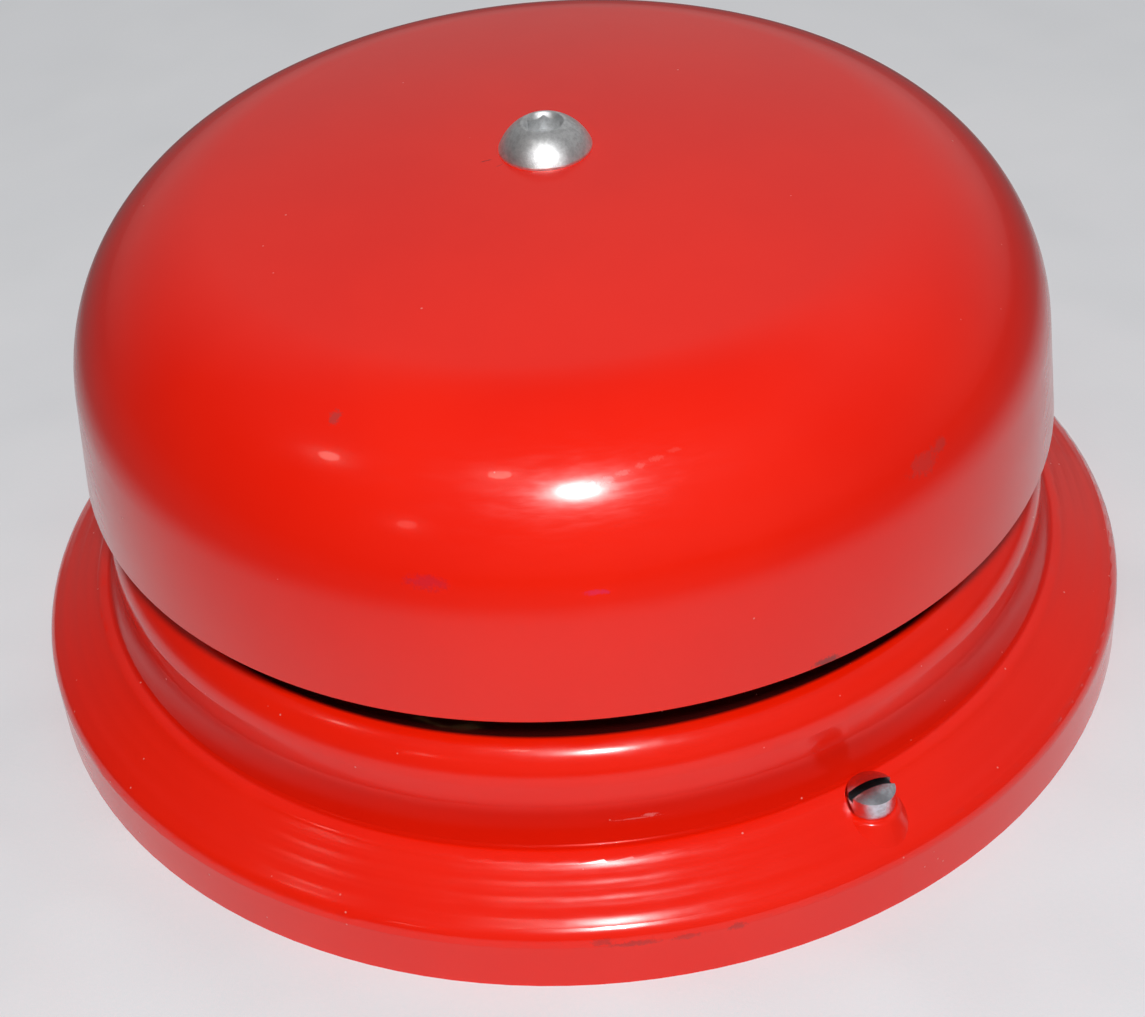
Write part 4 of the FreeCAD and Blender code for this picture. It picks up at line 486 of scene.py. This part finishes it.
# every material's maker and values, by its slot's name or, for three pieces, by its own
MATERIALS = {
    "gong_enamel": (enamel, GONG_MARKS, GONG_CLEAN),
    "base_enamel": (enamel, BASE_MARKS, BASE_CLEAN, True),
    "bright_zinc": (plated, (0.86, 0.87, 0.88), 0.30, 0.10, 1300.0, 0.00010, 0.90),
    "screw_zinc": (plated, (0.74, 0.75, 0.80), 0.17, 0.10, 1500.0, 0.00003),
    "cover_screw_zinc": (plated, (0.78, 0.79, 0.86), 0.17, 0.10, 1500.0, 0.00004, 1.0,
                         COVER_SLOTS),
    "zinc_sheet": (plated, (0.55, 0.56, 0.57), 0.32, 0.15, 220.0),
    "soft_iron": (plated, (0.36, 0.36, 0.37), 0.42, 0.18, 260.0, 0.00003),
    "steel": (turned_metal, (0.58, 0.58, 0.60), 0.28, 0),
    "brass": (turned_metal, (0.72, 0.50, 0.20), 0.26, 2),
    "spring_bronze": (plated, (0.66, 0.40, 0.20), 0.25, 0.12, 300.0),
    "silver": (plated, (0.84, 0.82, 0.78), 0.22, 0.12, 1200.0),
    "copper_winding": (winding,),
    "bobbin_plastic": (moulded, (0.020, 0.020, 0.022), 0.45, (0.045, 0.045, 0.05)),
    "moulding": (moulded, (0.045, 0.022, 0.014), 0.35, (0.10, 0.05, 0.03)),
    "fibre": (moulded, (0.20, 0.05, 0.035), 0.7, (0.30, 0.09, 0.06)),
    "rubber": (moulded, (0.018, 0.018, 0.018), 0.75, (0.05, 0.05, 0.05)),
    "lead_black": (moulded, (0.022, 0.022, 0.022), 0.4, (0.05, 0.05, 0.05)),
}
# the nodes that have a material of their own within their slot
OWN_MATERIALS = {"gong": "gong_enamel", "base_housing": "base_enamel",
                 "cover_screws": "cover_screw_zinc"}


def dress(materials):
    """Give each CAD node the material of its slot."""
    for entry in frame["record"]["subparts"]:
        name = entry["node"]
        mesh = frame["nodes"][name].data
        mesh.materials.clear()
        mesh.materials.append(materials[OWN_MATERIALS.get(name, entry["material_slot"])])


# ------------------------------------------------------------------ gong

# The dome's section: lengths in mm, the wall's draft in degrees. Rim, draft and shoulder are the
# solid's. The crown is a little rounder, to rise as high as the solid's seat under the screw.
GONG_RIM = 76.2
GONG_RIM_HEIGHT = 39.6
GONG_DRAFT = 4.6
GONG_SHOULDER = 27.7
GONG_CROWN = 386.0
GONG_SEAT = 84.05
GONG_SEAT_RADIUS = 7.5
GONG_WALL = 1.8
GONG_HOLE = 4.3
GONG_UNDER = 81.816
GONG_RIM_ROUND = 0.3
GONG_STEPS_ROUND = 256


def arc(middle, radius, first, last, steps):
    """Points of an arc in the gong's section; angles are in degrees from the level."""
    for index in range(steps + 1):
        angle = math.radians(first + (last - first) * index / steps)
        yield middle[0] + radius * math.cos(angle), middle[1] + radius * math.sin(angle)


def gong_section():
    """The drawn dome's section in mm, in three parts: from the rim's inside over the crown
    to the screw's foot, the hole and its underside, and the shoulder's inside."""
    draft = math.radians(GONG_DRAFT)
    crown_middle = (0.0, GONG_SEAT - math.sqrt(GONG_CROWN ** 2 - GONG_SEAT_RADIUS ** 2))
    wall = (GONG_RIM - GONG_SHOULDER * math.cos(draft),
            GONG_RIM_HEIGHT - GONG_SHOULDER * math.sin(draft) - crown_middle[1])
    along = wall[1] * math.cos(draft) - wall[0] * math.sin(draft)
    short = wall[0] ** 2 + wall[1] ** 2 - (GONG_CROWN - GONG_SHOULDER) ** 2
    run = math.sqrt(along ** 2 - short) - along
    middle = (wall[0] - run * math.sin(draft),
              wall[1] + crown_middle[1] + run * math.cos(draft))
    meet = math.degrees(math.atan2(middle[1] - crown_middle[1], middle[0]))
    inner_rim = GONG_RIM - GONG_WALL / math.cos(draft)

    outside = [(inner_rim, GONG_RIM_HEIGHT)]
    outside += arc((GONG_RIM - GONG_RIM_ROUND, GONG_RIM_HEIGHT + GONG_RIM_ROUND),
                   GONG_RIM_ROUND, -90.0, GONG_DRAFT, 6)
    outside += arc(middle, GONG_SHOULDER, GONG_DRAFT, meet, 64)
    seat_angle = math.degrees(math.acos(GONG_SEAT_RADIUS / GONG_CROWN))
    outside += list(arc(crown_middle, GONG_CROWN, meet, seat_angle, 24))[1:]
    hole = [(GONG_HOLE, GONG_SEAT), (GONG_HOLE, GONG_UNDER),
            (GONG_SEAT_RADIUS + 1.0, GONG_UNDER)]
    inside = list(arc(middle, GONG_SHOULDER - GONG_WALL, meet, GONG_DRAFT, 32))
    return outside, hole, inside


def gong_shell(material):
    """The gong's dome, with the crown running smoothly to the screw's foot."""
    outside, hole, inside = gong_section()
    section = outside + hole + inside
    # the rings with a sharp edge: the rim's inside, and the hole's top and underside
    sharp = (0, len(outside), len(outside) + 1)
    turns = [2 * math.pi * step / GONG_STEPS_ROUND for step in range(GONG_STEPS_ROUND)]
    mesh_data = bmesh.new()
    rings = []
    for out_mm, height_mm in section:
        rings.append([mesh_data.verts.new((out_mm * MM * math.cos(turn),
                                           out_mm * MM * math.sin(turn), height_mm * MM))
                      for turn in turns])
    for index, ring in enumerate(rings):
        following = rings[(index + 1) % len(rings)]
        for step in range(GONG_STEPS_ROUND):
            after = (step + 1) % GONG_STEPS_ROUND
            face = mesh_data.faces.new((ring[step], ring[after],
                                        following[after], following[step]))
            face.smooth = True
    for index in sharp:
        ring = rings[index]
        for step in range(GONG_STEPS_ROUND):
            after = (step + 1) % GONG_STEPS_ROUND
            mesh_data.edges.get((ring[step], ring[after])).smooth = False
    bmesh.ops.recalc_face_normals(mesh_data, faces=mesh_data.faces)
    mesh = bpy.data.meshes.new("gong_shell")
    mesh_data.to_mesh(mesh)
    mesh_data.free()
    mesh.materials.append(material)
    shell = bpy.data.objects.new("gong_shell", mesh)
    bpy.context.scene.collection.objects.link(shell)
    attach(shell, "base")
    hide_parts("gong")


# ------------------------------------------------------------------ stage, light and camera

def cloth_floor():
    """A white cotton cloth, laid flat with a few soft creases. To the camera it is pale all
    over; what the bell mirrors of it fades a little way round the bell."""
    material, nodes, shader, place = surface("cloth", (0.78, 0.78, 0.79), 0.9)
    creases = nodes.noise(nodes.vector("MULTIPLY", place, (1.0, 2.2, 1.0)), 7.0, 2.0)
    folds = nodes.noise(place, 22.0, 2.0)
    weave = nodes.noise(place, 1500.0, 2.0, 0.8)
    # painted shade: the cloth is a little darker where its folds lie low
    tint = nodes.mix(nodes.step(folds, 0.3, 0.7), CLOTH_FOLD_SHADE, WHITE)
    path = nodes.add("ShaderNodeLightPath").outputs
    seen = nodes.math("MAXIMUM", path["Is Camera Ray"], path["Is Glossy Ray"])
    away = nodes.length(nodes.vector("SUBTRACT", place, tuple(around(CLOTH_MIDDLE))))
    shade = nodes.step(away, CLOTH_SHADE_FROM, CLOTH_SHADE_TO, 1.0, CLOTH_SHADE_LEFT)
    lit = nodes.math("MAXIMUM", shade, path["Is Camera Ray"])
    white = nodes.mix(seen, CLOTH_LIGHTING, CLOTH_SEEN)
    shaded = nodes.scaled(nodes.vector("MULTIPLY", white, tint), lit)
    nodes.link(shaded, shader.inputs["Base Color"])
    shader.inputs["Emission Color"].default_value = CLOTH_GLOW_COLOR
    glow = nodes.math("MULTIPLY", nodes.math("MULTIPLY", seen, lit), CLOTH_GLOW)
    nodes.link(glow, shader.inputs["Emission Strength"])
    normal = nodes.bump(weave, 0.25, 0.0002)
    normal = nodes.bump(folds, 0.6, 0.004, normal)
    normal = nodes.bump(creases, 0.8, 0.012, normal)
    nodes.link(normal, shader.inputs["Normal"])
    mesh = bpy.data.meshes.new("floor")
    half = CLOTH_HALF_SIDE
    corners = [(-half, -half, 0.0), (half, -half, 0.0), (half, half, 0.0), (-half, half, 0.0)]
    mesh.from_pydata(corners, [], [(0, 1, 2, 3)])
    mesh.materials.append(material)
    floor = bpy.data.objects.new("floor", mesh)
    bpy.context.scene.collection.objects.link(floor)


def room():
    """What stands round the bell, as a glow by direction that its gloss shows."""
    world = bpy.data.worlds.new("room")
    bpy.context.scene.world = world
    world.use_nodes = True
    nodes = Nodes(world.node_tree)
    background = world.node_tree.nodes["Background"]
    direction = nodes.add("ShaderNodeTexCoord").outputs["Generated"]
    height = nodes.split(direction)[2]
    level = nodes.vector("NORMALIZE", nodes.vector("MULTIPLY", direction, (1.0, 1.0, 0.0)))
    glow = nodes.step(height, *OVERHEAD_RISE, LOW_GLOW, OVERHEAD_GLOW)
    side_share = nodes.math("MULTIPLY", nodes.step(height, *CEILING_FADE, 1.0, 0.0),
                            nodes.step(height, *HORIZON_RISE, HORIZON_SHARE, 1.0))
    for azimuth, side_glow, fade in BRIGHT_SIDES:
        turn = math.radians(azimuth)
        toward = tuple(around((math.sin(turn), math.cos(turn), 0.0)))
        facing = nodes.vector("DOT_PRODUCT", level, toward, output="Value")
        share = nodes.math("POWER", nodes.math("MAXIMUM", facing, 0.0), fade)
        glow = nodes.math("MULTIPLY_ADD", nodes.math("MULTIPLY", share, side_glow),
                          side_share, glow)
    camera_ray = nodes.add("ShaderNodeLightPath").outputs["Is Camera Ray"]
    nodes.link(nodes.mix(camera_ray, nodes.combine(glow, glow, glow), BACKDROP),
               background.inputs["Color"])


def lamp(name, place, size, power, color=(1.0, 1.0, 1.0)):
    """A round lamp that faces the middle of the bell's foot."""
    data = bpy.data.lights.new(name, "AREA")
    data.shape = "DISK"
    data.size = size
    data.energy = power
    data.color = color
    item = bpy.data.objects.new(name, data)
    item.location = around(place)
    item.rotation_euler = (-item.location).to_track_quat("-Z", "Y").to_euler()
    bpy.context.scene.collection.objects.link(item)


def lamps():
    """The flash beside the camera and the room's small warm lamps."""
    lamp("flash", FLASH_PLACE, FLASH_SIZE, FLASH_POWER)
    for index, (azimuth, rise, power) in enumerate(ROOM_LAMPS):
        turn = math.radians(azimuth)
        level = math.cos(math.radians(rise)) * ROOM_LAMP_AWAY
        place = (level * math.sin(turn), -level * math.cos(turn),
                 ROOM_LAMP_AWAY * math.sin(math.radians(rise)))
        lamp("room_lamp_%d" % index, place, ROOM_LAMP_SIZE, power, ROOM_LAMP_COLOR)


def camera():
    """The photograph's camera, from its place and its three turns."""
    data = bpy.data.cameras.new("camera")
    data.sensor_width = SENSOR_MM
    data.lens = LENS_MM
    item = bpy.data.objects.new("camera", data)
    ahead = Vector((math.sin(CAMERA_YAW) * math.cos(CAMERA_PITCH),
                    math.cos(CAMERA_YAW) * math.cos(CAMERA_PITCH), -math.sin(CAMERA_PITCH)))
    level = Vector((math.cos(CAMERA_YAW), -math.sin(CAMERA_YAW), 0.0))
    upright = level.cross(ahead)
    right = math.cos(CAMERA_ROLL) * level + math.sin(CAMERA_ROLL) * upright
    up = math.cos(CAMERA_ROLL) * upright - math.sin(CAMERA_ROLL) * level
    turned = [around(axis) for axis in (right, up, -ahead)]
    matrix = Matrix([[axis[row] for axis in turned] for row in range(3)]).to_4x4()
    matrix.translation = around((0.0, -CAMERA_AWAY, CAMERA_UP))
    item.matrix_world = matrix
    bpy.context.scene.collection.objects.link(item)
    bpy.context.scene.camera = item


bpy.context.scene.view_settings.view_transform = "Standard"
materials = {name: make(name, *values) for name, (make, *values) in MATERIALS.items()}
dress(materials)
gong_shell(materials["gong_enamel"])
cloth_floor()
room()
lamps()
camera()
